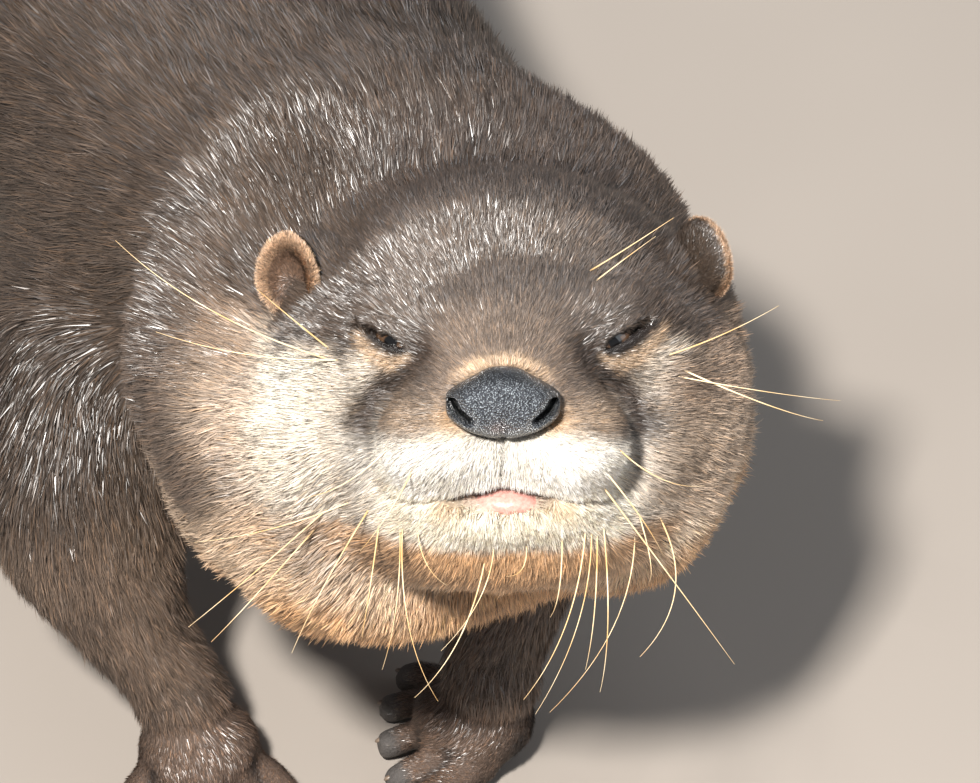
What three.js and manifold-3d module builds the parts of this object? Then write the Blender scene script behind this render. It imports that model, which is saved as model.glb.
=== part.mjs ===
// A life-size Asian small-clawed otter, standing on its four feet and looking up over its right
// shoulder line. Millimetres. X is the animal's left, Y runs from head to tail, Z is up and the
// floor is z = 0. Each named part of the body is one closed solid, out to the tips of the coat.
import * as THREE from "three";
import { mergeVertices } from "three/addons/utils/BufferGeometryUtils.js";
import Module from "manifold-3d";

const wasm = await Module();
wasm.setup();

const gap = 0.3; // clear space between two neighbouring solids
const headYaw = 23; // degrees the face is turned to the animal's right
const headPitch = 29; // degrees the face is raised
const eyeLine = new THREE.Vector3(0, -63, 146); // midpoint between the eyes
const eyeRadius = 5.6;
const eyeAt = [17.4, -3.4, -0.6]; // left, forward and up from the eye line
const up = new THREE.Vector3(0, 0, 1);
const back = new THREE.Vector3(0, 1, 0);
const radians = THREE.MathUtils.degToRad;

// ---- the head's own frame: x to the animal's left, f forward along the muzzle, u up ----
const yaw = radians(headYaw);
const pitch = radians(headPitch);
const headLeft = new THREE.Vector3(Math.cos(yaw), -Math.sin(yaw), 0);
const headForward = new THREE.Vector3(
  -Math.sin(yaw) * Math.cos(pitch),
  -Math.cos(yaw) * Math.cos(pitch),
  Math.sin(pitch),
);
const headUp = new THREE.Vector3().crossVectors(headForward, headLeft);

function fromHead(x, f, u) {
  return eyeLine
    .clone()
    .addScaledVector(headLeft, x)
    .addScaledVector(headForward, f)
    .addScaledVector(headUp, u);
}

// The masses of the head in that frame: centre x, f, u, then half-sizes. side 1 is repeated as -1.
const headMasses = [
  { name: "cranium", at: [0, -41, -3], half: [32, 35, 22.5] },
  { name: "brow", at: [0, -12, -2], half: [22.5, 22, 13.5] },
  { name: "bridge", at: [0, 5, -4.5], half: [12, 18, 8.5] },
  { name: "cheek", at: [21.8, -31, -16], half: [20, 25, 19.5], pair: true },
  { name: "whiskerPad", at: [9.5, 10.5, -14], half: [12, 11.5, 9.3], pair: true },
  { name: "chin", at: [0, 0, -23], half: [13, 15, 9.3] },
  { name: "throat", at: [0, -32, -27], half: [28, 29, 19] },
  { name: "jowl", at: [19, -32, -35.5], half: [16.5, 20, 15.5], pair: true },
];
const headBlend = 7; // how far the masses run into each other
const headCore = [0, -24, -9]; // every point of the head's surface is in plain sight of this one

function smoothUnion(a, b, reach) {
  const h = Math.max(reach - Math.abs(a - b), 0) / reach;
  return Math.min(a, b) - (h * h * reach) / 4;
}

function ellipsoidDistance(p, at, half, side) {
  const d = [p[0] - side * at[0], p[1] - at[1], p[2] - at[2]];
  const k0 = Math.hypot(d[0] / half[0], d[1] / half[1], d[2] / half[2]);
  const k1 = Math.hypot(d[0] / half[0] ** 2, d[1] / half[1] ** 2, d[2] / half[2] ** 2);
  return k1 > 0 ? (k0 * (k0 - 1)) / k1 : -Math.min(...half);
}

function headDistance(p) {
  let found = 1e9;
  for (const mass of headMasses) {
    for (const side of mass.pair ? [1, -1] : [1]) {
      found = smoothUnion(found, ellipsoidDistance(p, mass.at, mass.half, side), headBlend);
    }
  }
  return found;
}

// ---- solids ----
function weld(geometry) {
  geometry.deleteAttribute("normal");
  geometry.deleteAttribute("uv");
  return mergeVertices(geometry);
}

function solidOf(geometry) {
  return new wasm.Manifold(
    new wasm.Mesh({
      numProp: 3,
      vertProperties: new Float32Array(geometry.attributes.position.array),
      triVerts: new Uint32Array(geometry.index.array),
    }),
  );
}

// Moves each vertex of a closed geometry to place(x, y, z), and makes it a solid.
function shaped(geometry, place) {
  const welded = weld(geometry);
  const points = welded.attributes.position;
  for (let i = 0; i < points.count; i++) {
    const p = place(points.getX(i), points.getY(i), points.getZ(i));
    points.setXYZ(i, p.x, p.y, p.z);
  }
  return solidOf(welded);
}

function headSolid(grow) {
  const sides = 28;
  const rings = 19;
  return shaped(new THREE.SphereGeometry(1, sides, rings), (x, y, z) => {
    const ray = [x, y, -z]; // the ball's pole lies along the muzzle
    const at = (r) => headCore.map((c, i) => c + r * ray[i]);
    let low = 0;
    let high = 90;
    for (let i = 0; i < 30; i++) {
      const middle = (low + high) / 2;
      if (headDistance(at(middle)) < grow) low = middle;
      else high = middle;
    }
    return fromHead(...at(low));
  });
}

function ellipsoidInHead(at, half, sides, rings, turn = 0) {
  const c = Math.cos(turn);
  const s = Math.sin(turn);
  return shaped(new THREE.SphereGeometry(1, sides, rings), (x, y, z) => {
    const a = x * half[0];
    const b = y * half[1];
    return fromHead(at[0] + a * c - b * s, at[1] + a * s + b * c, at[2] - z * half[2]);
  });
}

// One coordinate of a row of stations at t, on a smooth curve through them.
function along(stations, column, t) {
  const last = stations.length - 1;
  const i = Math.min(Math.floor(t), last - 1);
  const s = t - i;
  const value = (k) => stations[k][column];
  const b = value(i);
  const c = value(i + 1);
  const a = i > 0 ? value(i - 1) : 2 * b - c;
  const d = i + 2 <= last ? value(i + 2) : 2 * c - b;
  return b + 0.5 * s * (c - a + s * (2 * a - 5 * b + 4 * c - d + s * (3 * (b - c) + d - a)));
}

function placeAt(stations, t) {
  return new THREE.Vector3(...[0, 1, 2].map((k) => along(stations, k, t)));
}

const round = () => ({ square: 2, swell: 1 });

// A solid carried along stations of [x, y, z, half-width, upper half, lower half] from t0 to t1.
// roundStart and roundEnd are the share of the length over which that end is rounded, and form
// says how square a section is at t, and how far it swells, towards lean (1 up, -1 down).
function sweep(stations, t0, t1, shape) {
  const { sides, rings, ahead = up, grow = 0, roundStart = 0, roundEnd = 0, form = round } = shape;
  const step = 1e-3;
  const spread = (v) => {
    if (roundStart && roundEnd) return (1 - Math.cos(Math.PI * v)) / 2;
    if (roundEnd) return Math.sin((Math.PI * v) / 2);
    return roundStart ? 1 - Math.cos((Math.PI * v) / 2) : v;
  };
  const ease = (x) => Math.sqrt(Math.max(1 - Math.max(x, 0) ** 2, 0.03));
  return shaped(new THREE.CylinderGeometry(1, 1, 1, sides, rings), (x, y, z) => {
    const s = spread(y + 0.5);
    const t = t0 + (t1 - t0) * s;
    const nearby = Math.min(t, stations.length - 1 - step);
    const centre = placeAt(stations, t);
    const tangent = placeAt(stations, nearby + step).sub(placeAt(stations, nearby)).normalize();
    const across = new THREE.Vector3().crossVectors(tangent, ahead).normalize();
    const upward = new THREE.Vector3().crossVectors(across, tangent);
    const wide = x * (along(stations, 3, t) + grow);
    const high = z * (along(stations, z > 0 ? 4 : 5, t) + grow);
    const onRim = x || z;
    const { square, swell } = form(t, onRim ? high / Math.hypot(wide, high) : 0);
    let rim = onRim ? swell * (Math.abs(x) ** square + Math.abs(z) ** square) ** (-1 / square) : 0;
    rim *= roundStart ? ease((roundStart - s) / roundStart) : 1;
    rim *= roundEnd ? ease((s - 1 + roundEnd) / roundEnd) : 1;
    return centre.addScaledVector(across, wide * rim).addScaledVector(upward, high * rim);
  });
}

function box(low, high, place) {
  const size = high.map((h, i) => h - low[i]);
  return shaped(new THREE.BoxGeometry(...size), (x, y, z) =>
    place(x + (low[0] + high[0]) / 2, y + (low[1] + high[1]) / 2, z + (low[2] + high[2]) / 2),
  );
}

// The largest closed surface of a solid: pockets shut in between joined pieces are filled.
function outermost(solid) {
  return solid.decompose().sort((a, b) => b.volume() - a.volume())[0];
}

const underFloor = box([-400, -400, -100], [400, 900, 0], (x, y, z) => new THREE.Vector3(x, y, z));

// ---- the spine, from the nape to the tip of the tail ----
const spine = [
  [10, -63, 117, 42, 16, 38], // behind the throat, inside the head
  [8, -39, 112, 48, 25.5, 42.5], // nape
  [5, -15, 103, 52, 31, 47.5], // loose roll of the neck
  [4, 9, 97, 46, 38, 50], // crest in front of the shoulders
  [0, 36, 92, 50, 41, 49], // shoulders
  [-3, 76, 88, 53, 45, 47], // chest
  [-1, 126, 90, 54, 48, 47], // waist
  [-2, 180, 93, 52, 49, 46], // loin
  [-3, 232, 89, 48, 46, 42], // hips
  [-3, 274, 75, 38, 37, 33], // rump
  [-2, 308, 57, 26, 25, 23], // root of the tail
  [0, 350, 36, 19, 17, 15],
  [5, 400, 19, 15, 12, 11.5],
  [12, 452, 9.5, 12, 9, 9.8],
  [21, 506, 7, 8.5, 6.5, 7.4],
  [31, 558, 4.4, 3.6, 3, 5],
];

const rise = THREE.MathUtils.smoothstep; // (x, low, high): 0 below low, 1 above high
const bump = (x, width) => Math.exp(-((x / width) ** 2));

// The neck is squarer below, sinks behind the head and then stands up in a roll of loose skin
// that leans forward as it goes down the sides.
function spineForm(t, lean) {
  const roll = 0.09 * bump(t - 2.1 - 0.8 * lean, 0.55) - 0.07 * bump(t - 0.95 - 0.7 * lean, 0.5);
  return {
    square: 2.35 + 1.9 * rise(-lean, -0.1, 0.5) * bump(t - 1.2, 1.7),
    swell: 1 + roll * rise(lean, -0.6, 0.1),
  };
}

const neckEnd = 3.6;
const trunkEnd = 9.6;
const tailCuts = [11.4, 13.2, 15];
const cutStep = 0.012; // as a share of the way between two stations, about half a millimetre

// ---- limbs: [x, y, z, half-width, backward half, forward half] ----
const foreRight = [
  [-24, 44, 104, 12, 24, 18], // top of the shoulder blade
  [-37, 33, 91, 18, 30, 22], // point of the shoulder
  [-48, 21, 72, 19, 26, 20],
  [-51, 11, 52, 20.5, 18, 17], // elbow
  [-48.5, 2, 36, 13, 13.5, 13],
  [-43, -5, 23, 10.2, 10.5, 10.5],
  [-40, -8.5, 12, 10.2, 10.5, 10.5], // wrist
];
const foreLeft = [
  [26, 44, 106, 12, 20, 18],
  [36, 30, 92, 17, 24, 21],
  [39, 12, 74, 18, 21, 19],
  [34, -4, 56, 16, 17, 16],
  [25, -16, 40, 12.5, 13, 13],
  [15.5, -24, 25, 10.5, 10.5, 10.5],
  [11.8, -28.6, 12, 10, 10.5, 10.5],
];

function hindLimb(side, shift) {
  return [
    [side * 22, 244, 100, 14, 24, 24], // hip
    [side * 37, 236 + shift * 0.4, 79, 19, 32, 30], // thigh
    [side * 47, 222 + shift * 0.8, 58, 19, 25, 21], // knee
    [side * 49, 231 + shift, 40, 15, 17, 15],
    [side * 47, 246 + shift, 25, 11.5, 11, 12], // hock
    [side * 46, 251 + shift, 12, 10.5, 10, 11], // heel
  ];
}
const hindRightShift = -16;
const hindLeftShift = 8;
const hindRight = hindLimb(-1, hindRightShift);
const hindLeft = hindLimb(1, hindLeftShift);

// ---- feet: a flat palm or sole and five blunt toes, each with a peg of a claw ----
const foreFoot = {
  length: 28, // heel to the longest toe
  width: 27,
  height: 12,
  sole: 0.26, // middle of the palm, as a share of the length
  toe: 3.6, // radius
  reach: 0.34, // where the toes leave the palm, as a share of the length
  spread: 14, // degrees from one toe to the next
  spacing: 0.23, // from one toe's root to the next, as a share of the width
};
const hindFoot = {
  length: 66,
  width: 26,
  height: 13,
  sole: 0.32,
  toe: 3.9,
  reach: 0.58,
  spread: 8,
  spacing: 0.17,
};
const toeLengths = [0.8, 0.96, 1, 0.95, 0.78]; // shares of the foot's length
const claw = { radius: 1, length: 3, tilt: 0.35 };

function paw(kind, at, headingDegrees, grow = 0) {
  const heading = radians(headingDegrees);
  const ahead = new THREE.Vector3(Math.sin(heading), -Math.cos(heading), 0);
  const aside = new THREE.Vector3(-Math.cos(heading), -Math.sin(heading), 0);
  const place = (a, b, z) =>
    new THREE.Vector3(at[0], at[1], 0).addScaledVector(ahead, a).addScaledVector(aside, b).setZ(z);
  const palmMiddle = kind.length * kind.sole;
  const palmHalf = kind.length * (kind.sole + 0.1) + grow;
  const toeStart = kind.length * kind.reach;
  let whole = shaped(new THREE.SphereGeometry(1, 12, 6), (x, y, z) =>
    place(
      palmMiddle + palmHalf * y,
      (kind.width / 2 + grow) * x,
      kind.height * 0.42 + (kind.height * 0.62 + grow) * z,
    ),
  );
  toeLengths.forEach((share, k) => {
    const slot = k - 2;
    const slope = Math.tan(radians(slot * kind.spread));
    const sideAt = (a) => slot * kind.width * kind.spacing + (a - toeStart) * slope;
    const tip = kind.length * share;
    const joint = (a, z, radius) => [...place(a, sideAt(a), z).toArray(), radius, radius, radius];
    const bones = [
      joint(toeStart - kind.toe, kind.height * 0.5, kind.toe),
      joint((toeStart + tip) / 2, kind.toe * 1.45, kind.toe * 0.98),
      joint(tip - kind.toe * 0.2, kind.toe * 0.8, kind.toe * 0.86),
    ];
    const shape = { sides: 6, rings: 4, grow, roundStart: 0.2, roundEnd: 0.3 };
    const peg = new THREE.ConeGeometry(claw.radius + grow, claw.length + grow, 4);
    whole = whole.add(sweep(bones, 0, 2, shape)).add(
      shaped(peg, (x, y, z) =>
        place(tip - 0.6 + y, sideAt(tip) + x, kind.toe * 1.25 - claw.tilt * y - z),
      ),
    );
  });
  return outermost(whole).subtract(underFloor);
}

const feet = {
  fore_paw_r: { kind: foreFoot, at: [-39.5, -9], heading: -14 },
  fore_paw_l: { kind: { ...foreFoot, length: 23.5 }, at: [14.3, -27.6], heading: -108 },
  hind_foot_r: { kind: hindFoot, at: [-46, 256 + hindRightShift], heading: -8 },
  hind_foot_l: { kind: hindFoot, at: [46, 256 + hindLeftShift], heading: 10 },
};

function footSolid(name, grow) {
  const foot = feet[name];
  return paw(foot.kind, foot.at, foot.heading, grow);
}

// ---- colours ----
const coat = { color: 0x5c4d44, roughness: 0.7, metalness: 0 };
const paleCoat = { color: 0xd9c3a6, roughness: 0.8, metalness: 0 };
const noseSkin = { color: 0x30373b, roughness: 0.45, metalness: 0 };
const eyeGlass = { color: 0x1d1410, roughness: 0.08, metalness: 0 };
const footCoat = { color: 0x66564b, roughness: 0.75, metalness: 0 };

const otter = new THREE.Group();

function addPart(name, solid, finish) {
  const { vertProperties, triVerts, numProp, numVert } = solid.getMesh();
  const points = new Float32Array(numVert * 3);
  for (let i = 0; i < numVert; i++) {
    points.set(vertProperties.subarray(i * numProp, i * numProp + 3), i * 3);
  }
  const geometry = new THREE.BufferGeometry();
  geometry.setAttribute("position", new THREE.BufferAttribute(points, 3));
  geometry.setIndex(new THREE.BufferAttribute(triVerts, 1));
  const mesh = new THREE.Mesh(geometry, new THREE.MeshStandardMaterial(finish));
  mesh.name = name;
  otter.add(mesh);
}

// ---- the spine's solids, and the room each leaves for its neighbours ----
const body = (t0, t1, rings, grow = 0, extra = {}) =>
  sweep(spine, t0, t1, { sides: 20, rings, grow, form: spineForm, ...extra });
const tail = (t0, t1, rings, grow = 0, extra = {}) =>
  sweep(spine, t0, t1, { sides: 14, rings, grow, ...extra }).subtract(underFloor);
const neck = (grow) => body(0, neckEnd, 8, grow, { roundStart: 0.14 });
const neckRoom = neck(gap);
const trunkRoom = body(neckEnd - cutStep, trunkEnd + cutStep, 17, gap);
const tailRoom = tail(trunkEnd, tailCuts[0], 6, gap);

// ---- head, with eyes, nose, ears and lower jaw ----
const skull = headSolid(0);
const skullRoom = headSolid(gap);
const noseAt = [0, 21.2, -4.7];
const noseHalf = [9.6, 5.4, 6.1];
const mouthLevel = -22.2; // the mouth's line, below the eye line
const mouthCorner = -10; // how far back the mouth runs
const jawBox = (grow) =>
  box([-60, mouthCorner - grow, -80], [60, 60, mouthLevel + grow], (x, f, u) =>
    fromHead(-x, f, u + 0.2 * (f - 12)),
  );
let head = skull.subtract(jawBox(gap));
const jaw = skull.intersect(jawBox(0));

for (const [side, letter] of [[1, "l"], [-1, "r"]]) {
  const at = [side * eyeAt[0], eyeAt[1], eyeAt[2]];
  const ball = (grow) => ellipsoidInHead(at, Array(3).fill(eyeRadius + grow), 10, 7);
  head = head.subtract(ball(gap));
  addPart("eye_" + letter, ball(0), eyeGlass);
}
head = head.subtract(ellipsoidInHead(noseAt, noseHalf.map((h) => h + gap), 14, 8));
addPart("nose", ellipsoidInHead(noseAt, noseHalf, 14, 8), noseSkin);

// Each ear is a thick cup: a flat ball with a hollow, turned about the head's upright axis.
const ears = {
  ear_r: { at: [-38, -37, 1.2], turn: radians(36), half: [8.4, 4.6, 9.8], hollow: 2.6 },
  ear_l: { at: [35.5, -38, 3], turn: radians(-62), half: [8, 4.6, 8.8], hollow: 2.6 },
};
const earRoom = [];
for (const [name, ear] of Object.entries(ears)) {
  const { at, turn, half, hollow } = ear;
  const ahead = [-Math.sin(turn) * hollow, Math.cos(turn) * hollow];
  const cup = [at[0] + ahead[0] * 1.15, at[1] + ahead[1] * 1.15, at[2] - 0.6];
  const inner = [half[0] * 0.7, half[1] * 0.9, half[2] * 0.72];
  const outer = (grow) => ellipsoidInHead(at, half.map((h) => h + grow), 12, 8, turn);
  const shell = outer(0).subtract(ellipsoidInHead(cup, inner, 10, 6, turn));
  addPart(name, shell.subtract(skullRoom), coat);
  earRoom.push(outer(gap));
}
addPart("head", head, coat);
addPart("lower_jaw", jaw, paleCoat);

// ---- neck, trunk and tail ----
const neckLeft = [skullRoom, ...earRoom].reduce((left, room) => left.subtract(room), neck(0));
addPart("neck", neckLeft, coat);
addPart("trunk", body(neckEnd + cutStep, trunkEnd, 17), coat);
addPart("tail_base", tail(trunkEnd + cutStep, tailCuts[0], 6), coat);
addPart("tail_middle", tail(tailCuts[0] + cutStep, tailCuts[1], 6), coat);
addPart("tail_tip", tail(tailCuts[1] + cutStep, tailCuts[2], 7, 0, { roundEnd: 0.08 }), coat);

// ---- legs: upper, lower and foot ----
const limbs = [
  { stations: foreRight, elbow: 3, upper: "upper_arm_r", lower: "forearm_r", foot: "fore_paw_r" },
  { stations: foreLeft, elbow: 3, upper: "upper_arm_l", lower: "forearm_l", foot: "fore_paw_l" },
  { stations: hindRight, elbow: 2.4, upper: "thigh_r", lower: "shank_r", foot: "hind_foot_r" },
  { stations: hindLeft, elbow: 2.4, upper: "thigh_l", lower: "shank_l", foot: "hind_foot_l" },
];
for (const { stations, elbow, upper, lower, foot } of limbs) {
  const end = stations.length - 1;
  const limb = (t0, t1, rings, extra) =>
    sweep(stations, t0, t1, { sides: 14, rings, ahead: back, ...extra });
  const shinGrown = (grow) => limb(elbow + 3 * cutStep, end, 6, { grow, roundEnd: 0.2 });
  const bodyRoom = trunkRoom.add(neckRoom).add(tailRoom);
  addPart(upper, limb(0, elbow, 8, { roundStart: 0.4 }).subtract(bodyRoom).subtract(shinGrown(gap)), coat);
  addPart(lower, shinGrown(0).subtract(bodyRoom).subtract(footSolid(foot, gap)), coat);
  addPart(foot, footSolid(foot, 0), footCoat);
}

// ---- the origin goes to the middle of the box, on the floor ----
const outline = new THREE.Box3().setFromObject(otter);
const middle = outline.getCenter(new THREE.Vector3());
otter.position.set(-middle.x, -middle.y, -outline.min.z);

export default otter;
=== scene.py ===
# The looks of a small-clawed otter: one skin, its coat of tufts, eyes, nose, whiskers and claws.
# Lengths are millimetres in the animal's own frame unless a name says metres. X is its left,
# Y runs from head to tail, Z is up; on the head, x is left, f forward and u up.
import math
import time

import bpy
import numpy as np
from mathutils import Matrix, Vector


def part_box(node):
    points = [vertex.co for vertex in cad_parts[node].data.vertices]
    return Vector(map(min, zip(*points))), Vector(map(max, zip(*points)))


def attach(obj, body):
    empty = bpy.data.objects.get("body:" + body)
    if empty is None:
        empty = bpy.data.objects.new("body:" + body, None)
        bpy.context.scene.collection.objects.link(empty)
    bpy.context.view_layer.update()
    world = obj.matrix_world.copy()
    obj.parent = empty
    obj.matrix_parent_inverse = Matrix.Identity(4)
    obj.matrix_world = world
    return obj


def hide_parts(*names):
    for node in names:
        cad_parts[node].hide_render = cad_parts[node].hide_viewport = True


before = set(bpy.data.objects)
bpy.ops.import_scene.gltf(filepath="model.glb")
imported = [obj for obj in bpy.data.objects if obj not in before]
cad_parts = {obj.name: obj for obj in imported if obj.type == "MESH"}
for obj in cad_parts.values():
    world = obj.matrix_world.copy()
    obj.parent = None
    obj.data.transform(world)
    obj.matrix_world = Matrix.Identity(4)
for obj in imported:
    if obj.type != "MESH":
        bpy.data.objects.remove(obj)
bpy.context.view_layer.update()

started = time.time()


def say(text):  # a stage's name after the seconds gone
    print(f"{time.time() - started:6.1f} s  {text}")


def unit(v):  # a vector over its own length
    return v / np.maximum(np.linalg.norm(v, axis=-1, keepdims=True), 1e-9)


def dot(a, b):  # the sum of products, row by row
    return (a * b).sum(-1)


def rise(x, low, high):  # 0 below low, 1 above high, eased between
    s = np.clip((x - low) / (high - low), 0, 1)
    return s * s * (3 - 2 * s)


def bump(x, width):  # a bell of height 1, about as wide as width on either side
    return np.exp(-((x / width) ** 2))


def smoothMin(a, b, reach):  # the lesser of two, rounded where they are within reach
    h = np.maximum(reach - np.abs(a - b), 0) / reach
    return np.minimum(a, b) - h * h * reach / 4


def smoothMax(a, b, reach):  # the same for the greater
    return -smoothMin(-a, -b, reach)


def ripple(p, size, seed):  # a smooth random value from about -1 to 1 that changes over size
    rng = np.random.default_rng(seed)
    total = np.zeros(len(p))
    for _ in range(7):
        way = unit(rng.normal(size=3)) * rng.uniform(0.6, 1.5) * 2 * math.pi / size
        total += np.sin(p @ way + rng.uniform(0, 2 * math.pi))
    return total / 3.2


def turnsOf(count):  # angles evenly round a circle
    return np.linspace(0, 2 * math.pi, count, endpoint=False)


# Where isInside turns from true to false on the way from low to high, by halving.
def crossing(isInside, low, high, rounds):
    for _ in range(rounds):
        middle = (low + high) / 2
        inside = isInside(middle)
        low, high = np.where(inside, middle, low), np.where(inside, high, middle)
    return low, high


def paint(red, green, blue):  # a screen colour of 0 to 255 as linear light
    c = np.array([red, green, blue]) / 255
    return np.where(c <= 0.04045, c / 12.92, ((c + 0.055) / 1.055) ** 2.4)


# ---- the head's place and main masses, as in the part's source ----
headPose = {
    "yaw": 23,  # degrees the face is turned to the animal's right
    "pitch": 29,  # degrees the face is raised
    "eyeLine": (0, -63, 146),
    "eyeAt": (17.4, -3.4, -0.6),
    "eyeRadius": 5.6,
    "core": (0, -24, -9),
    "blend": 7,
    "masses": [  # centre x, f, u, half-sizes, and whether it is on both sides
        ((0, -41, -3), (32, 35, 22.5), False),  # cranium
        ((0, -12, -2), (22.5, 22, 13.5), False),  # brow
        ((0, 5, -4.5), (12, 18, 8.5), False),  # bridge
        ((21.8, -31, -16), (20, 25, 19.5), True),  # cheek
        ((9.5, 10.5, -14), (12, 11.5, 9.3), True),  # whisker pad
        ((0, 0, -23), (13, 15, 9.3), False),  # chin
        ((0, -32, -27), (28, 29, 19), False),  # throat
    ],
}
yaw = math.radians(headPose["yaw"])
pitch = math.radians(headPose["pitch"])
headLeft = np.array([math.cos(yaw), -math.sin(yaw), 0])
headForward = np.array(
    [-math.sin(yaw) * math.cos(pitch), -math.cos(yaw) * math.cos(pitch), math.sin(pitch)]
)
headUp = np.cross(headForward, headLeft)
headAxes = np.array([headLeft, headForward, headUp])
eyeLine = np.array(headPose["eyeLine"], float)


def fromHead(p):  # the eye line plus x, f and u times the head's axes
    return eyeLine + np.asarray(p, float) @ headAxes


def toHead(p):  # a place's share of each of the head's axes, from the eye line
    return (p - eyeLine) @ headAxes.T


def boxMiddle(node):  # half the sum of a node's least and greatest corners, in metres
    low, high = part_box(node)
    return (np.array(low) + np.array(high)) / 2


rowShift = 1000 * boxMiddle("eye_l") - fromHead(headPose["eyeAt"])  # from this frame to the row's


def ellipsoid(p, at, half):  # about the distance to an ellipsoid's surface, negative inside
    d = p - np.array(at)
    k0 = np.linalg.norm(d / np.array(half), axis=-1)
    k1 = np.linalg.norm(d / np.array(half) ** 2, axis=-1)
    return k0 * (k0 - 1) / np.maximum(k1, 1e-6)


def sides(at):  # a place on the left, then its twin on the right
    return [(1, np.array(at, float)), (-1, np.array(at, float) * (-1, 1, 1))]


def headDistance(p):  # the rounded least of the distances to the head's masses
    found = np.full(len(p), 1e9)
    for at, half, pair in headPose["masses"]:
        for side, place in sides(at) if pair else [(1, at)]:
            found = smoothMin(found, ellipsoid(p, place, half), headPose["blend"])
    return found


# ---- the spine and limbs: [x, y, z, half-width, upper half, lower half], as in the part's source
spineRow = [
    [10, -63, 117, 42, 16, 38],  # behind the throat, inside the head
    [8, -39, 112, 48, 25.5, 42.5],  # nape
    [5, -15, 103, 52, 31, 47.5],  # loose roll of the neck
    [4, 9, 97, 46, 38, 50],  # crest in front of the shoulders
    [0, 36, 92, 50, 41, 49],  # shoulders
    [-3, 76, 88, 53, 45, 47],  # chest
    [-1, 126, 90, 54, 48, 47],  # waist
    [-2, 180, 93, 52, 49, 46],  # loin
    [-3, 232, 89, 48, 46, 42],  # hips
    [-3, 274, 75, 38, 37, 33],  # rump
    [-2, 308, 57, 26, 25, 23],  # root of the tail
    [0, 350, 36, 19, 17, 15],
    [5, 400, 19, 15, 12, 11.5],
    [12, 452, 9.5, 12, 9, 9.8],
    [21, 506, 7, 8.5, 6.5, 7.4],
    [31, 558, 4.4, 3.6, 3, 5],
]
foreRight = [
    [-24, 44, 104, 12, 24, 18],  # top of the shoulder blade
    [-37, 33, 91, 18, 30, 22],  # point of the shoulder
    [-48, 21, 72, 19, 26, 20],
    [-51, 11, 52, 20.5, 18, 17],  # elbow
    [-48.5, 2, 36, 13, 13.5, 13],
    [-43, -5, 23, 10.2, 10.5, 10.5],
    [-40, -8.5, 12, 10.2, 10.5, 10.5],  # wrist
]
foreLeft = [
    [26, 44, 106, 12, 20, 18],
    [36, 30, 92, 17, 24, 21],
    [39, 12, 74, 18, 21, 19],
    [34, -4, 56, 16, 17, 16],
    [25, -16, 40, 12.5, 13, 13],
    [15.5, -24, 25, 10.5, 10.5, 10.5],
    [11.8, -28.6, 12, 10, 10.5, 10.5],
]


def hindRow(side, shift):  # hip to heel on one side, with the foot moved back by shift
    return [
        [side * 22, 244, 100, 14, 24, 24],  # hip
        [side * 37, 236 + shift * 0.4, 79, 19, 32, 30],  # thigh
        [side * 47, 222 + shift * 0.8, 58, 19, 25, 21],  # knee
        [side * 49, 231 + shift, 40, 15, 17, 15],
        [side * 47, 246 + shift, 25, 11.5, 11, 12],  # hock
        [side * 46, 251 + shift, 12, 10.5, 10, 11],  # heel
    ]


up = np.array([0, 0, 1.0])
tailward = np.array([0, 1.0, 0])
foreFoot = {
    "length": 28,
    "width": 27,
    "height": 12,
    "sole": 0.26,  # middle of the palm, as a share of the length
    "toe": 3.6,  # radius of a toe
    "reach": 0.34,  # where the toes begin, as a share of the length
    "spread": 14,  # degrees between toes
    "spacing": 0.23,
    "instep": (4.5, 9.5, (12, 12, 9)),  # from the heel, height and half-sizes; fills the ankle's front
}
hindFoot = {
    "length": 66,
    "width": 26,
    "height": 13,
    "sole": 0.32,
    "toe": 3.9,
    "reach": 0.58,
    "spread": 8,
    "spacing": 0.17,
    "instep": (7, 9.5, (15, 11, 9)),
}
toeLengths = [0.8, 0.96, 1, 0.95, 0.78]
limbs = [
    {"name": "fore_r", "row": foreRight, "foot": foreFoot, "at": (-39.5, -9), "heading": -14},
    {
        "name": "fore_l",
        "row": foreLeft,
        "foot": {**foreFoot, "length": 23.5},
        "at": (14.3, -27.6),
        "heading": -108,
    },
    {"name": "hind_r", "row": hindRow(-1, -16), "foot": hindFoot, "at": (-46, 240), "heading": -8},
    {"name": "hind_l", "row": hindRow(1, 8), "foot": hindFoot, "at": (46, 264), "heading": 10},
]


def through(row, t):  # a smooth curve through the rows of stations, one row for each whole t
    s = np.array(row, float)
    last = len(s) - 1
    i = np.clip(np.floor(t).astype(int), 0, last - 1)
    w = (t - i)[:, None]
    b, c = s[i], s[i + 1]
    a = np.where((i > 0)[:, None], s[np.maximum(i - 1, 0)], 2 * b - c)
    d = np.where((i + 2 <= last)[:, None], s[np.minimum(i + 2, last)], 2 * c - b)
    return b + 0.5 * w * (c - a + w * (2 * a - 5 * b + 4 * c - d + w * (3 * (b - c) + d - a)))


def railOf(row, t, ahead):  # centre, way, side and upward directions, and half-sizes at each t
    step = 1e-3
    near = np.minimum(t, len(row) - 1 - step)
    here = through(row, t)
    way = unit(through(row, near + step)[:, :3] - through(row, near)[:, :3])
    side = unit(np.cross(way, ahead))
    over = np.cross(side, way)
    return {"t": t, "at": here[:, :3], "way": way, "side": side, "up": over, "half": here[:, 3:]}


# ---- surfaces: a grid of points, closed round its columns and at both ends ----
def closedGrid(points):
    rows, columns = points.shape[:2]
    index = np.arange(rows * columns).reshape(rows, columns)
    after = np.roll(index, -1, axis=1)
    quads = np.stack([index[:-1], after[:-1], after[1:], index[1:]], axis=-1).reshape(-1, 4)
    return points.reshape(-1, 3), quads


def joined(shells):  # shells in one list, with each one's faces counted on from the last
    points, faces, count = [], [], 0
    for p, q in shells:
        points.append(p)
        faces.append(q + count)
        count += len(p)
    return np.concatenate(points), np.concatenate(faces)


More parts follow.
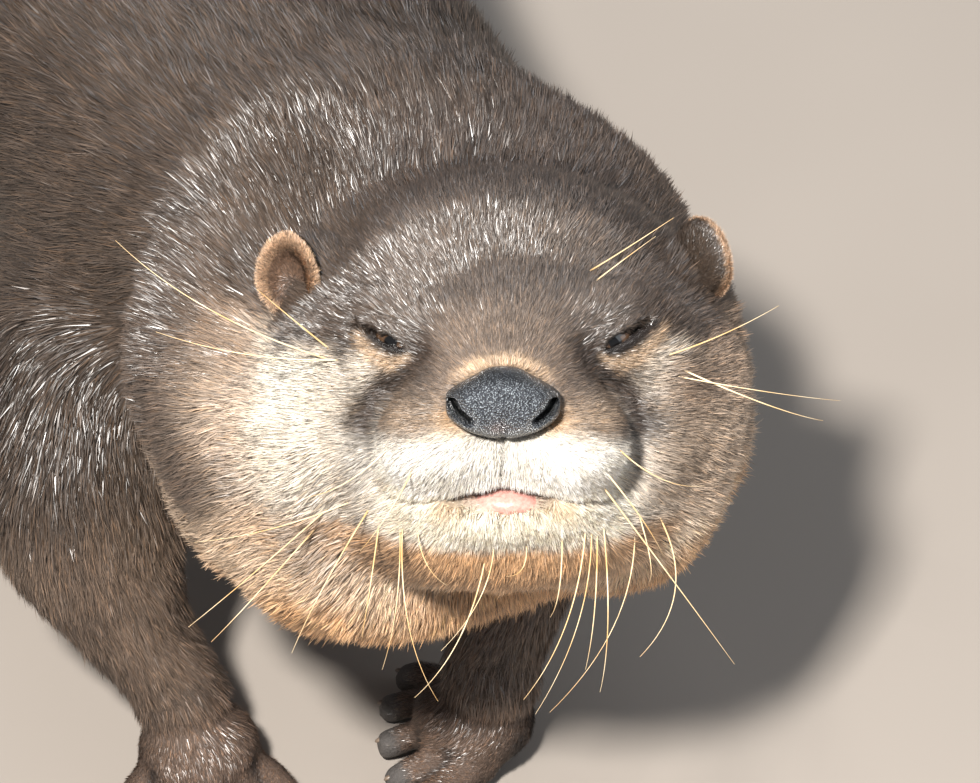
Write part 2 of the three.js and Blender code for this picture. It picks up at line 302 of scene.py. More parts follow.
def outward(points, quads):  # turns the faces round if they enclose a negative volume
    a, b, c, d = (points[quads[:, k]] for k in range(4))
    volume = dot(np.cross(a, b), c).sum() + dot(np.cross(a, c), d).sum()
    return quads if volume > 0 else quads[:, ::-1]


# The form of a section at place t of a row, towards lean (1 straight up, -1 straight down): how
# square it is, and how far it swells. The neck is squarer below, sinks behind the head and then
# stands up in a roll of loose skin that leans forward as it goes down the sides.
def spineForm(t, lean):
    square = 2.35 + 1.9 * rise(-lean, -0.1, 0.5) * bump(t - 1.2, 1.7)
    roll = 0.09 * bump(t - 2.1 - 0.8 * lean, 0.55) - 0.07 * bump(t - 0.95 - 0.7 * lean, 0.5)
    return square, 1 + roll * rise(lean, -0.6, 0.1)


def roundForm(t, lean):  # an ellipse, not swollen
    return 2, 1


# Carries a section along a row of stations: at angle a the section is (cos a, sin a) times its
# half-sizes, shaped by form, and shrunk to a point at both ends by quarter circles.
def tube(row, t0, t1, rows, columns, ahead, inset, form=roundForm, ends=(0.1, 0.1)):
    s = (1 - np.cos(np.pi * np.linspace(0, 1, rows))) / 2
    t = t0 + (t1 - t0) * s
    rail = railOf(row, t, ahead)
    startTaper = np.sqrt(np.clip(1 - np.clip((ends[0] - s) / ends[0], 0, 1) ** 2, 0, 1))
    endTaper = np.sqrt(np.clip(1 - np.clip((s - 1 + ends[1]) / ends[1], 0, 1) ** 2, 0, 1))
    taper = (startTaper * endTaper)[:, None]
    a = turnsOf(columns)[None]
    wide = rail["half"][:, 0:1] * np.cos(a)
    high = np.where(np.sin(a) > 0, rail["half"][:, 1:2], rail["half"][:, 2:3]) * np.sin(a)
    length = np.hypot(wide, high)
    n, swell = form(t[:, None], high / length)
    full = (np.abs(np.cos(a)) ** n + np.abs(np.sin(a)) ** n) ** (-1 / n) * swell
    depth = inset(t)[:, None] if callable(inset) else inset
    full = (full - depth / length) * taper
    across = (wide * full)[..., None] * rail["side"][:, None]
    return closedGrid(rail["at"][:, None] + across + (high * full)[..., None] * rail["up"][:, None])


def directions(polar, turn):  # unit ways at an angle from the second axis, turned round it
    ahead = np.cos(polar) * np.ones_like(turn)
    return np.stack([np.sin(polar) * np.cos(turn), ahead, np.sin(polar) * np.sin(turn)], axis=-1)


def ballGrid(rows, columns):  # unit directions, pole to pole
    return directions(np.linspace(0, math.pi, rows)[:, None], turnsOf(columns)[None])


# Voxel-remeshes overlapping closed shells into one surface, then eases it. Sizes in millimetres.
def fused(shells, voxel, easing):
    points, quads = joined(shells)
    mesh = bpy.data.meshes.new("fusing")
    mesh.from_pydata(points.tolist(), [], quads.tolist())
    piece = bpy.data.objects.new("fusing", mesh)
    bpy.context.scene.collection.objects.link(piece)
    remesh = piece.modifiers.new("remesh", "REMESH")
    remesh.mode = "VOXEL"
    remesh.voxel_size = voxel
    made = piece.evaluated_get(bpy.context.evaluated_depsgraph_get()).to_mesh()
    p = np.empty(len(made.vertices) * 3)
    made.vertices.foreach_get("co", p)
    q = np.empty(len(made.loops), int)
    made.loops.foreach_get("vertex_index", q)
    p, q = p.reshape(-1, 3), q.reshape(-1, 4)
    bpy.data.objects.remove(piece)
    bpy.data.meshes.remove(mesh)
    return eased(p, q, easing), q


def eased(p, quads, rounds):  # moves each point half way to the mean of its neighbours, in rounds
    a = quads.ravel()
    b = np.roll(quads, -1, axis=1).ravel()
    ends = np.concatenate([a, b]), np.concatenate([b, a])
    count = np.maximum(np.bincount(ends[0], minlength=len(p)), 1)
    for _ in range(rounds):
        mean = [np.bincount(ends[0], p[ends[1], k], len(p)) / count for k in range(3)]
        p = (p + np.stack(mean, axis=1)) / 2
    return p


# ---- head skin: the head's own masses, less the coat, with lids, lips, folds and the nose's seat
face = {
    "noseAt": (0, 21.2, -4.7),
    "noseHalf": (9.6, 5.4, 6.1),
    "lidRadius": 6.3,
    "gaze": (0.28, 0.93, 0.16),
    "slitTilt": 17,  # degrees the slit rises outwards
    "slitRecede": 0.3,  # how much its outer end lies further back
    "slit": {1: (3.6, 0.72, 0.6, 0.25), -1: (3, 0.55, 0, 0.25)},  # half-length, half-height, shift
    "bareLid": {1: (5.6, 1.5, 2.2, -0.1), -1: (4, 1.2, 0.2, 0)},  # outwards and up: the naked skin
    "mouthTop": -20.2,
    "mouthDrop": 5.6,
    "mouthHalf": 18.5,
    "gapBottom": -24.5,  # level of the lower lip where the mouth is parted
    "gapHalf": 8.4,
    "gapDepth": 3.2,
    "stripePath": [(13.6, -2.4), (18, -6.2), (22, -10.8), (23.2, -14.5)],  # x and slant, below
    "creasePath": [(22, -10.8), (23.2, -14.5), (22.6, -19.6), (20.6, -25.5)],
    "slantTilt": 0.287,
}


# Added to the head's own on both sides: middle, half-sizes, and how far each runs into the rest.
faceMasses = {
    "brow": ((15.5, -7, 4.4), (7.5, 6, 2.3), 7),
    "jaw": ((8.5, 0.5, -24.6), (9, 11, 6.8), 10),
    "lip": ((5, 6, -25.6), (8, 8.5, 4), 7),
    "gular": ((8, -10, -34), (18, 17, 9.5), 9),
    "temple": ((23, -10.5, -6), (9.5, 9, 10), 8),
    "buccal": ((22, -7.5, -19), (9, 9, 9.5), 9),
    "maxilla": ((25, -24, -17), (13.5, 14.5, 16), 9),
    "jowl": ((19, -32, -35.5), (17.5, 21, 16.5), 12),
    "earRoot": ((32.5, -38, -1), (5, 6, 8), 5),
}


def mouthLevel(x):  # u of the line between the lips: an arch with its ends drooping
    s = np.clip(np.abs(x) / face["mouthHalf"], 0, 1.2)
    return face["mouthTop"] - face["mouthDrop"] * s**1.3


def mouthGap(x, u):  # how far inside the parted lips, in millimetres
    lower = face["gapBottom"] + 0.9 * (x / face["gapHalf"]) ** 2
    return np.minimum(smoothMin(mouthLevel(x) - u, u - lower, 0.8), face["gapHalf"] - np.abs(x + 0.6))


def lidFrame(side):  # the eye's centre, its gaze, and the slit's two directions
    at = np.array(headPose["eyeAt"]) * (side, 1, 1)
    gaze = unit(np.array(face["gaze"]) * (side, 1, 1))
    tilt = math.radians(face["slitTilt"])
    along = np.array([side * math.cos(tilt), -face["slitRecede"], math.sin(tilt)])
    along = unit(along - gaze * dot(along, gaze))
    over = np.cross(along, gaze) * side
    over = over if over[2] > 0 else -over
    return at, gaze, along, over


# An almond round the eye: a runs along it, b across it and w towards the gaze, and the last value
# is how far inside its edge a place is. Its height falls to nothing at both ends, and faster at
# the outer.
def almond(p, side, spec):
    at, gaze, along, over = lidFrame(side)
    long, high, shift, lift = face[spec][side]
    d = p - at
    a, b, w = d @ along - shift, d @ over - lift, d @ gaze
    s = a / long
    edge = high * np.maximum(1 - s**2, 0) ** 0.7 * (1 - 0.3 * s)
    return a, b, w, edge - np.abs(b - 0.05 * a) - 1.5 * np.maximum(np.abs(a) - long, 0)


def pathDistance(p, path):  # distance to a chain of straight stretches
    found = np.full(len(p), 1e9)
    for a, b in zip(np.array(path[:-1], float), np.array(path[1:], float)):
        s = np.clip((p - a) @ (b - a) / dot(b - a, b - a), 0, 1)[:, None]
        found = np.minimum(found, np.linalg.norm(p - a - s * (b - a), axis=-1))
    return found


# Distance on the face's front to a path given by x and by slant, which is u less a share of f.
def faceGap(p, path):
    slant = p[:, 2] - face["slantTilt"] * p[:, 1]
    gap = pathDistance(np.stack([np.abs(p[:, 0]), slant], axis=1), face[path])
    return gap + 9 * rise(-p[:, 1], 10, 16)


headCoat = {"least": 0.7, "back": 1.2, "below": 0.6}  # depths in millimetres


def headCoatDepth(p):  # least on the muzzle and lids, with more over cheeks, nape and throat
    back = rise(-p[:, 1], -8, 40)
    below = rise(-p[:, 2], 8, 30)
    return headCoat["least"] + headCoat["back"] * back + headCoat["below"] * below * back


neckRail = railOf(spineRow, np.linspace(0.05, 4, 60), up)
neckFront = np.clip(1 - neckRail["t"] / 0.5, 0, 0.985)  # it ends in a dome inside the head
neckRail["half"] = neckRail["half"] * np.sqrt(1 - neckFront**2)[:, None]
neckInset = 2.5


pointsAtOnce = 20000  # keeps the table of points against stations small


# The nearest station of a rail, weighing the way along it four times the way out, then how far
# aside and up of it a point is, and how far out in its section, where 1 is the surface.
def sectionPlace(p, rail, form):
    nearest = np.empty(len(p), int)
    level = dot(rail["at"], rail["way"])
    square = dot(rail["at"], rail["at"])
    for start in range(0, len(p), pointsAtOnce):
        some = slice(start, start + pointsAtOnce)
        part = p[some]
        ahead = np.abs(part @ rail["way"].T - level)
        gap = dot(part, part)[:, None] - 2 * part @ rail["at"].T + square
        nearest[some] = np.argmin(ahead + 0.25 * np.sqrt(np.maximum(gap, 0)), axis=1)
    d = p - rail["at"][nearest]
    x = dot(d, rail["side"][nearest])
    z = dot(d, rail["up"][nearest])
    half = rail["half"][nearest]
    high = np.where(z > 0, half[:, 1], half[:, 2])
    n, swell = form(rail["t"][nearest], z / np.maximum(np.hypot(x, z), 1e-6))
    out = (np.abs(x / half[:, 0]) ** n + np.abs(z / high) ** n) ** (1 / n) / swell
    return nearest, x, z, out


# Out from the neck's skin, whose front end is rounded off inside the head, and the place along it.
def neckDistance(p):
    nearest, x, z, out = sectionPlace(p, neckRail, spineForm)
    before = np.minimum(dot(p - neckRail["at"][0], neckRail["way"][0]), 0)
    distance = (np.hypot(out, before / 12) - 1) * np.minimum(neckRail["half"][nearest, 0], 40)
    return distance + neckInset, neckRail["t"][nearest]


# The head's masses less the coat, joined with the face's, then sunk or raised along the lips,
# folds, lids and nose by bells of the distance to them, and run into the neck.
def headSkin(p):
    d = headDistance(p) + headCoatDepth(p)
    x, f, u = p[:, 0], p[:, 1], p[:, 2]
    for side in (1, -1):
        for at, half, reach in faceMasses.values():
            d = smoothMin(d, ellipsoid(p, np.array(at) * (side, 1, 1), half), reach)
    front = rise(f, -4, 4) * (1 - rise(np.abs(x), 17, 20.5))
    low = mouthLevel(x) - u  # below the line of the lips
    middle = bump(x, 9)
    d = d + front * ((0.5 + middle) * bump(low, 0.6) + 0.7 * middle * rise(low, -0.4, 0.8) * bump(low, 5))
    d = np.maximum(d, np.where(f > 4, np.minimum(mouthGap(x, u), d + face["gapDepth"]), -9))
    d = d + 0.8 * bump(x, 0.55) * rise(f, 14, 18) * rise(-u, 9, 11)
    d = d + 0.4 * bump(faceGap(p, "stripePath"), 3) + 0.45 * bump(faceGap(p, "creasePath"), 1.5)
    for side in (1, -1):
        a, b, w, inside = almond(p, side, "slit")
        reach = np.linalg.norm(p - lidFrame(side)[0], axis=-1)
        d = smoothMin(d, reach - face["lidRadius"], 5)
        near = (w > 0) * (1 - rise(np.abs(a), 5, 8))
        d = d + near * 0.45 * bump(b - 2.9, 0.6)
        rim = np.where(w > 0, np.hypot(inside, reach - face["lidRadius"]) - 0.5, 9)
        d = smoothMin(d, rim, 0.9)
        d = np.maximum(d, np.minimum(inside - 0.1, w + 1))
    seat = np.array(face["noseHalf"]) + 0.1
    d = smoothMax(d, -ellipsoid(p, face["noseAt"], seat), 0.8)
    neck, t = neckDistance(fromHead(p))
    reach = 7 + 9 * rise(-u, 8, 20)  # the jowls run broadly into the neck
    return smoothMin(d, neck + 5 * rise(t, 1.9, 2.7), reach)  # passes under the body's skin there


# The head's skin is where headSkin is zero on each ray from the core; rows are closest on the face.
def headShell(rows, columns):
    s = np.linspace(0, 1, rows)
    polar = np.radians(np.interp(s, [0, 0.62, 1], [0, 64, 180]))[:, None]
    turn = turnsOf(columns)[None]
    ray = directions(polar, turn).reshape(-1, 3)
    core = np.array(headPose["core"], float)
    reach = np.full((2, len(ray)), [[8.0], [64.0]])
    low, high = crossing(lambda out: headSkin(core + out[:, None] * ray) < 0, *reach, 17)
    points, quads = closedGrid((core + high[:, None] * ray).reshape(rows, columns, 3))
    return fromHead(points), quads


# ---- ears: a cup whose outline is a drop standing on its point ----
ears = {  # place and half-sizes across, deep and up; turn is degrees from facing forward
    "r": {"at": (-37, -31.5, 2.2), "turn": 20, "half": (5.2, 3.8, 8)},
    "l": {"at": (34.5, -38, 2.8), "turn": -122, "half": (7.2, 3.8, 8)},
}
earProfile = [  # out from the middle, and depth, from the root at the back over the rim to the hollow
    [0, -1],
    [0.5, -0.9],
    [0.86, -0.5],
    [1, -0.05],
    [1.02, 0.3],
    [0.92, 0.44],
    [0.78, 0.3],
    [0.6, 0],
    [0.36, -0.28],
    [0, -0.4],
]
earGrid = (46, 48)  # rows, columns


# The profile turned round the ear's middle, narrowed towards a point below and leaned back there.
def earShell(ear):
    rows, columns = earGrid
    s = np.linspace(0, 1, rows)
    a = turnsOf(columns)[None]
    out, deep = through(earProfile, s * (len(earProfile) - 1)).T
    x, z = out[:, None] * np.cos(a), out[:, None] * np.sin(a)
    x = x * (1 - 0.42 * rise(-z, 0, 1))
    y = deep[:, None] + 0.35 * np.minimum(z, 0)  # its lower point lies back against the head
    turn = math.radians(ear["turn"])
    x, y, z = x * ear["half"][0], y * ear["half"][1], z * ear["half"][2]
    across = x * math.cos(turn) - y * math.sin(turn)
    ahead = x * math.sin(turn) + y * math.cos(turn)
    return closedGrid(fromHead(np.array(ear["at"]) + np.stack([across, ahead, z], axis=-1)))


# ---- feet: a palm and five toes on the end of the limb ----
def footPlace(limb, a, b, z):  # a ahead of the heel, b aside, z up
    heading = math.radians(limb["heading"])
    ahead = np.array([math.sin(heading), -math.cos(heading)])
    aside = np.array([-math.cos(heading), -math.sin(heading)])
    level = np.array(limb["at"]) + np.multiply.outer(a, ahead) + np.multiply.outer(b, aside)
    return np.concatenate([level, np.asarray(z)[..., None] * np.ones(level.shape[:-1] + (1,))], axis=-1)


def toeLine(foot, k):  # where toe k starts and ends ahead of the heel, and how far aside it is at a
    start, tip = foot["length"] * foot["reach"], foot["length"] * toeLengths[k]
    slope = math.tan(math.radians((k - 2) * foot["spread"]))
    return start, tip, lambda a: (k - 2) * foot["width"] * foot["spacing"] + (a - start) * slope


def toePath(limb, k):  # from its root over the knuckle to the tip, with the toe's radius
    foot = limb["foot"]
    start, tip, aside = toeLine(foot, k)
    r = foot["toe"]
    knots = []
    for a, z, size in (
        (start - r, foot["height"] * 0.5, 1),
        ((start + tip) / 2, r * 1.5, 0.96),
        (tip - r * 0.8, r * 0.95, 1),
        (tip - r * 0.1, r * 0.85, 0.92),
    ):
        knots.append([*footPlace(limb, a, aside(a), z), r * size, r * size * 0.95, r * size])
    return knots


# A palm and an instep, each a squashed ball, and a tube for each toe, all drawn in by inset.
def footShells(limb, inset):
    foot = limb["foot"]
    ball = ballGrid(16, 26)
    middle = foot["length"] * foot["sole"]
    ahead, height, half = foot["instep"]
    shells = []
    palm = (middle + foot["length"] * 0.1, foot["width"] / 2, foot["height"] * 0.62)
    for a, z, size in ((middle, foot["height"] * 0.42, palm), (ahead, height, half)):
        x, y, w = np.moveaxis((np.array(size) - inset) * ball[..., [1, 0, 2]], -1, 0)
        shells.append(closedGrid(footPlace(limb, a + x, y, z + w)))
    for k in range(5):
        shells.append(tube(toePath(limb, k), 0, 3, 18, 14, up, inset, ends=(0.1, 0.16)))
    return shells


def spineInset(t):  # the coat's depth along the spine
    return np.interp(t, [0, 3.5, 5, 9.5, 11, 15], [neckInset, 2.5, 3, 3, 2, 0.9])


def limbInset(t, last):  # the same along a limb, deepest at its top
    return np.interp(t, [0, last * 0.5, last * 0.85, last], [2.8, 2, 1.2, 1])


footInset = 0.6


def bodyShell(voxel):  # the tubes of the spine and the limbs, fused
    shells = [tube(spineRow, 0, 15, 260, 64, up, spineInset, spineForm, (0.035, 0.012))]
    for limb in limbs:
        last = len(limb["row"]) - 1
        inset = lambda t, last=last: limbInset(t, last)
        shells.append(tube(limb["row"], 0, last, 60, 30, tailward, inset, ends=(0.25, 0.12)))
    return fused(shells, voxel, 9)


def footShell(limb, voxel):  # the foot and a sleeve that comes out of the leg's skin
    last = len(limb["row"]) - 1
    inset = lambda t: limbInset(t, last) + 1.4 * (1 - rise(t, last - 1.5, last - 0.7))
    wrist = tube(limb["row"], last - 1.6, last, 30, 30, tailward, inset, ends=(0.15, 0.3))
    return fused([wrist] + footShells(limb, footInset), voxel, 4)


sizes = {"headRows": 150, "headColumns": 280, "bodyVoxel": 2.7, "footVoxel": 1.05}
shells = {"head": headShell(sizes["headRows"], sizes["headColumns"])}
say("head surface")
shells["body"] = bodyShell(sizes["bodyVoxel"])
say("body surface")
for limb in limbs:
    shells["foot_" + limb["name"]] = footShell(limb, sizes["footVoxel"])
for letter, ear in ears.items():
    shells["ear_" + letter] = earShell(ear)
shells = {name: (p, outward(p, q)) for name, (p, q) in shells.items()}
skinPoints, skinQuads = joined(shells.values())
shellStart = np.cumsum([0] + [len(p) for p, q in shells.values()])
shellOf = np.repeat(np.arange(len(shells)), np.diff(shellStart))
shellNames = list(shells)
skinPoints[:, 2] = np.maximum(skinPoints[:, 2], 0.35)  # soles and tail lie on the floor
say("skin triangles: " + ", ".join(f"{name} {2 * len(q)}" for name, (p, q) in shells.items()))


def onShell(*starts):  # which skin points belong to shells whose names start so
    chosen = [k for k, name in enumerate(shellNames) if name.startswith(starts)]
    return np.isin(shellOf, chosen)


def pointNormals(p, quads):  # the mean way the faces round a point look, by area
    a, b, c, d = (p[quads[:, k]] for k in range(4))
    flat = np.cross(c - a, d - b)
    total = [np.bincount(quads.ravel(), np.repeat(flat[:, k], 4), len(p)) for k in range(3)]
    return unit(np.stack(total, axis=1))


skinNormals = pointNormals(skinPoints, skinQuads)

# ---- where each skin point is on the body: part, place along it, angle round it ----
rails = {"spine": railOf(spineRow, np.linspace(0, 15, 170), up)}
for limb in limbs:
    rails[limb["name"]] = railOf(limb["row"], np.linspace(0, len(limb["row"]) - 1, 45), tailward)
railNames = list(rails)
places = {
    name: sectionPlace(skinPoints, rail, spineForm if name == "spine" else roundForm)
    for name, rail in rails.items()
}
outness = np.stack([places[name][3] for name in railNames], axis=1)
for k, limb in enumerate(limbs):  # the body's skin runs on over the tops of the limbs
    t = rails[limb["name"]]["t"][places[limb["name"]][0]] / (len(limb["row"]) - 1)
    outness[:, k + 1] += 0.8 * (1 - rise(t, 0.05, 0.35))
headPoints = toHead(skinPoints)
headGap = headDistance(headPoints)  # out from the head's coat, less than zero inside it
partOf = np.argmin(outness, axis=1)
isHead = onShell("head", "ear")
isFoot = onShell("foot")
for k, limb in enumerate(limbs):
    partOf[onShell("foot_" + limb["name"])] = k + 1
share = np.exp(-9 * (outness - outness.min(axis=1, keepdims=True)))
share[isHead] = 0
share[isHead, 0] = 1
for k, limb in enumerate(limbs):
    share[onShell("foot_" + limb["name"])] = np.eye(5)[k + 1]
share /= share.sum(axis=1, keepdims=True)
along = np.stack([rails[n]["t"][places[n][0]] for n in railNames], axis=1)
spineT = along[:, 0]
station, spineAside, spineHigh, out = places["spine"]
sectionHalf = rails["spine"]["half"][station]
spineHigh = spineHigh / np.where(spineHigh > 0, sectionHalf[:, 1], sectionHalf[:, 2])  # 1 on the ridge
limbShare = share[:, 1:].sum(axis=1)
limbT = np.where(partOf > 0, along[np.arange(len(partOf)), partOf] / 6, 0)
limbT[(partOf > 2)] *= 6 / 5


# ---- lie of the coat: back over the head from the nose, along the body, down the legs ----
def lieOfCoat():
    ways = np.zeros_like(skinPoints)
    for k, name in enumerate(railNames):
        ways += share[:, k : k + 1] * rails[name]["way"][places[name][0]]
    flank = (1 - limbShare) * rise(np.abs(spineAside), 12, 40)
    ways -= 0.45 * flank[:, None] * up
    nose = fromHead(np.array([0, 22, -5]))
    fromNose = unit(skinPoints - nose)
    onHead = 1 - rise(headGap, 1, 13)
    onHead[isFoot] = 0
    ways = ways * (1 - onHead[:, None]) + fromNose * onHead[:, None]
    for limb in limbs:
        mine = onShell("foot_" + limb["name"])
        ahead = footPlace(limb, 1.0, 0.0, 0.0) - footPlace(limb, 0.0, 0.0, 0.0)
        low = 1 - rise(skinPoints[mine, 2], 8, 20)[:, None]
        ways[mine] = ways[mine] * (1 - low) + ahead * low
    for letter, ear in ears.items():
        mine = onShell("ear_" + letter)
        middle = fromHead(np.array(ear["at"]))
        ways[mine] = unit(skinPoints[mine] - middle) + 0.3 * headUp
    ways -= skinNormals * dot(ways, skinNormals)[:, None]
    return unit(ways)


skinLie = lieOfCoat()
say("lie of the coat")

# ---- markings, the same on skin and coat ----
tones = {
    "crown": paint(74, 63, 56),
    "forehead": paint(98, 87, 79),
    "temple": paint(78, 66, 57),
    "bridge": paint(132, 116, 103),
    "arch": paint(214, 184, 152),
    "cheek": paint(242, 230, 214),
    "muzzle": paint(250, 243, 232),
    "chin": paint(250, 236, 214),
    "warm": paint(222, 176, 120),
    "lip": paint(176, 128, 112),
    "stripe": paint(64, 52, 44),
    "rim": paint(34, 28, 26),
    "nape": paint(92, 78, 68),
    "back": paint(68, 56, 47),
    "shoulder": paint(76, 64, 55),
    "limb": paint(104, 87, 74),
    "paw": paint(114, 93, 79),
    "toe": paint(112, 106, 102),
    "neckSide": paint(212, 188, 163),
    "throat": paint(212, 168, 124),
    "belly": paint(150, 130, 112),
    "jowl": paint(190, 166, 144),
    "neckTop": paint(140, 119, 102),
    "earRim": paint(214, 180, 150),
    "earInside": paint(122, 98, 82),
    "mouth": paint(214, 160, 148),
}


def laid(base, colour, amount):  # a colour laid over others by an amount from 0 to 1
    amount = np.clip(amount, 0, 1)[:, None]
    return base * (1 - amount) + colour * amount


def layered(base, layers):  # tones laid one over another
    for tone, amount in layers:
        base = laid(base, tones[tone], amount)
    return base


# Each layer's amount is a product of rises and bells over the place on the head, from 0 to 1.
def headMarkings(p):
    side, f, u = np.abs(p[:, 0]), p[:, 1], p[:, 2]
    wander = ripple(p, 9, 11)
    edge = -6.2 + 1.1 * wander + 4.1 * bump(f + 1, 8) * rise(side, 12, 18)
    slope = 0.18 * np.maximum(side - 7, 0)  # the muzzle's pale fur starts lower at the sides
    besideNose = rise(-u, 3.5, 9) * (1 - rise(-u, 9, 13)) * rise(side, 6, 11)
    noseGap = ellipsoid(p, face["noseAt"], face["noseHalf"])
    # Partly painted shade: on the animal's left, the side away from the key light, the outer band starts
    # at x 20 instead of 37.
    outer = np.where(p[:, 0] < 0, rise(-p[:, 0] + wander, 37, 46), rise(p[:, 0] + wander, 20, 30))
    onChin = rise(-u, 20, 24) * (1 - rise(-u, 30, 33)) * rise(f, -11, -3)
    low = mouthLevel(p[:, 0]) - u
    front = rise(f, -2, 4) * (1 - rise(side, 17, 20))
    inner = p - np.sign(p[:, 0:1]) * (-0.7, 0, 0)  # hairs from here reach outwards
    stripe = faceGap(inner, "stripePath")
    layers = [
        ("forehead", rise(f, -42, -14) * (1 - rise(side, 16, 26))),
        ("temple", 0.8 * rise(side, 18, 26) * rise(u, -9, -2) * rise(-f, 0, 10)),
        ("bridge", rise(f, 0, 12) * rise(u, -11, -4) * (1 - rise(side, 9, 14))),
        ("cheek", rise(edge - u, -1.6, 2.4) * rise(4 + 1.2 * wander - f, 0, 5)),
        ("muzzle", rise(-u - 0.8 * wander - slope, 7.8, 11.8) * rise(f, -1, 5)),
        ("arch", 0.35 * rise(f, 0, 5) * besideNose),
        ("arch", 0.85 * bump(noseGap - 0.6, 1.5) * rise(u, -4, 0)),
        ("warm", 0.5 * bump(noseGap - 0.8, 1.6) * bump(u + 9, 2.2) * rise(side, 4, 7)),
        ("throat", rise(-u + 0.8 * wander, 29, 42) * rise(-f, 2, 18)),
        # Partly painted shade: these darker tones reach further in over the cheek on the animal's left.
        ("jowl", 0.85 * outer * rise(-u, 3, 8) * (1 - rise(-u, 30, 38))),
        ("neckTop", 0.8 * outer * rise(-u, 2, 5) * (1 - rise(-u, 9, 20))),
        ("chin", onChin * (1 - rise(side, 17, 23))),
        ("throat", rise(-u, 31, 34) * rise(f, -12, -4)),
        ("warm", 0.5 * front * bump(low - 1.5, 2) * bump(side - 9, 3.5)),
        ("rim", 0.7 * front * bump(low, 0.5) * bump(side, 9)),
        ("mouth", front * rise(mouthGap(p[:, 0], u), -0.1, 0.25)),
        ("stripe", 0.95 * bump(stripe, 3.1) + 0.15 * bump(stripe, 6)),
        # Painted shade: the crease between whisker pad and cheek is darkened with the stripe's tone.
        ("stripe", 0.4 * bump(faceGap(inner, "creasePath"), 1.2)),
    ]
    for hand in (1, -1):
        a, b, w, inside = almond(p, hand, "bareLid")
        lid = (np.linalg.norm(p - lidFrame(hand)[0], axis=-1) < 15) * (w > -2)
        layers.append(("temple", lid * bump(a - 5, 6) * bump(b - 1.4, 2) * 0.6))
        layers.append(("arch", 0.85 * lid * bump(inside + 1.8, 1.3) * rise(-b, 0, 1.5)))
        layers.append(("rim", lid * rise(inside, -0.5, 0.2)))
    return layered(np.tile(tones["crown"], (len(p), 1)), layers)


# The same over the place along the spine or limb, and the height on its section.
def bodyMarkings():
    p = skinPoints
    wander = ripple(p, 30, 5)
    neck = rise(3.4 - spineT, 0, 1.2)
    layers = [
        ("shoulder", bump(spineT - 3.6, 1.4) * 0.8),
        ("nape", rise(2.4 - spineT, -0.6, 1)),
        ("belly", rise(-spineHigh + 0.12 * wander, 0.62, 0.95)),
        ("neckSide", neck * rise(-spineHigh + 0.1 * wander, 0.08, 0.5)),
        ("throat", neck * rise(-spineHigh + 0.1 * wander, 0.4, 0.8)),
        ("limb", limbShare * rise(limbT, 0.35, 0.6)),
        ("paw", limbShare * rise(limbT, 0.82, 1)),
    ]
    return layered(np.tile(tones["back"], (len(p), 1)), layers)


skinTones = bodyMarkings()
nearHead = 1 - rise(headGap, 2, 16)
nearHead[isFoot] = 0
headTones = headMarkings(headPoints)
skinTones = skinTones * (1 - nearHead[:, None]) + headTones * nearHead[:, None]
# Painted shade: the grooves between the toes are darkened low on each foot.
toeTip, toeGapShade = np.zeros((2, len(skinPoints)))  # ends of the toes, and the grooves between them
for limb in limbs:
    mine = onShell("foot_" + limb["name"])
    bones = [toePath(limb, k) for k in range(5)]
    tips = np.array([bone[3][:3] for bone in bones])
    gap = np.linalg.norm(skinPoints[mine][:, None] - tips[None], axis=-1).min(axis=1)
    toeTip[mine] = 1 - rise(gap, 4.2, 7)
    gaps = np.sort([pathDistance(skinPoints[mine], np.array(bone)[:, :3]) for bone in bones], axis=0)
    between = bump(gaps[1] - gaps[0], 1.3) * rise(gaps[0], 2.2, 3)
    toeGapShade[mine] = between * (1 - rise(skinPoints[mine, 2], 10.5, 13))
bare = np.maximum(toeTip, isFoot * rise(-skinNormals[:, 2], 0.3, 0.6))  # toe tips and soles
# Bare skin on toe tips and soles, and painted shade darkening the grooves between the toes.
skinTones = layered(skinTones, [("toe", bare), ("rim", 0.85 * toeGapShade)])
for letter, ear in ears.items():
    mine = onShell("ear_" + letter)
    start = shellStart[shellNames.index("ear_" + letter)]
    row = np.arange(mine.sum()) // earGrid[1] / (earGrid[0] - 1)  # 0 at the root, 1 in the hollow
    layers = [("earRim", rise(row, 0.3, 0.4)), ("earInside", rise(row, 0.69, 0.78))]
    skinTones[mine] = layered(np.tile(tones["temple"], (len(row), 1)), layers)
skinTones *= (1 + 0.1 * ripple(skinPoints, 14, 3) + 0.06 * ripple(skinPoints, 5, 4))[:, None]
moist = np.zeros(len(skinPoints))  # naked skin that is wet: lids and lips
for side in (1, -1):
    a, b, w, inside = almond(headPoints, side, "bareLid")
    moist = np.maximum(moist, rise(inside, -0.4, 0.3) * ((w > -1) & isHead & (np.abs(b) < 3)))
inMouth = rise(mouthGap(headPoints[:, 0], headPoints[:, 2]), 0, 0.3)
moist = np.maximum(moist, inMouth * (isHead & (headPoints[:, 1] > 4)))
say("markings")


# ---- an unwrap of the skin's own shape: angle round each part, and place along it ----
cells = {  # left, bottom, width, height of each part's place on the map
    "head": (0.01, 0.51, 0.48, 0.48),
    "spine": (0.51, 0.01, 0.48, 0.98),
    "fore_r": (0.01, 0.01, 0.23, 0.23),
    "fore_l": (0.26, 0.01, 0.23, 0.23),
    "hind_r": (0.01, 0.26, 0.23, 0.23),
    "hind_l": (0.26, 0.26, 0.23, 0.23),
}


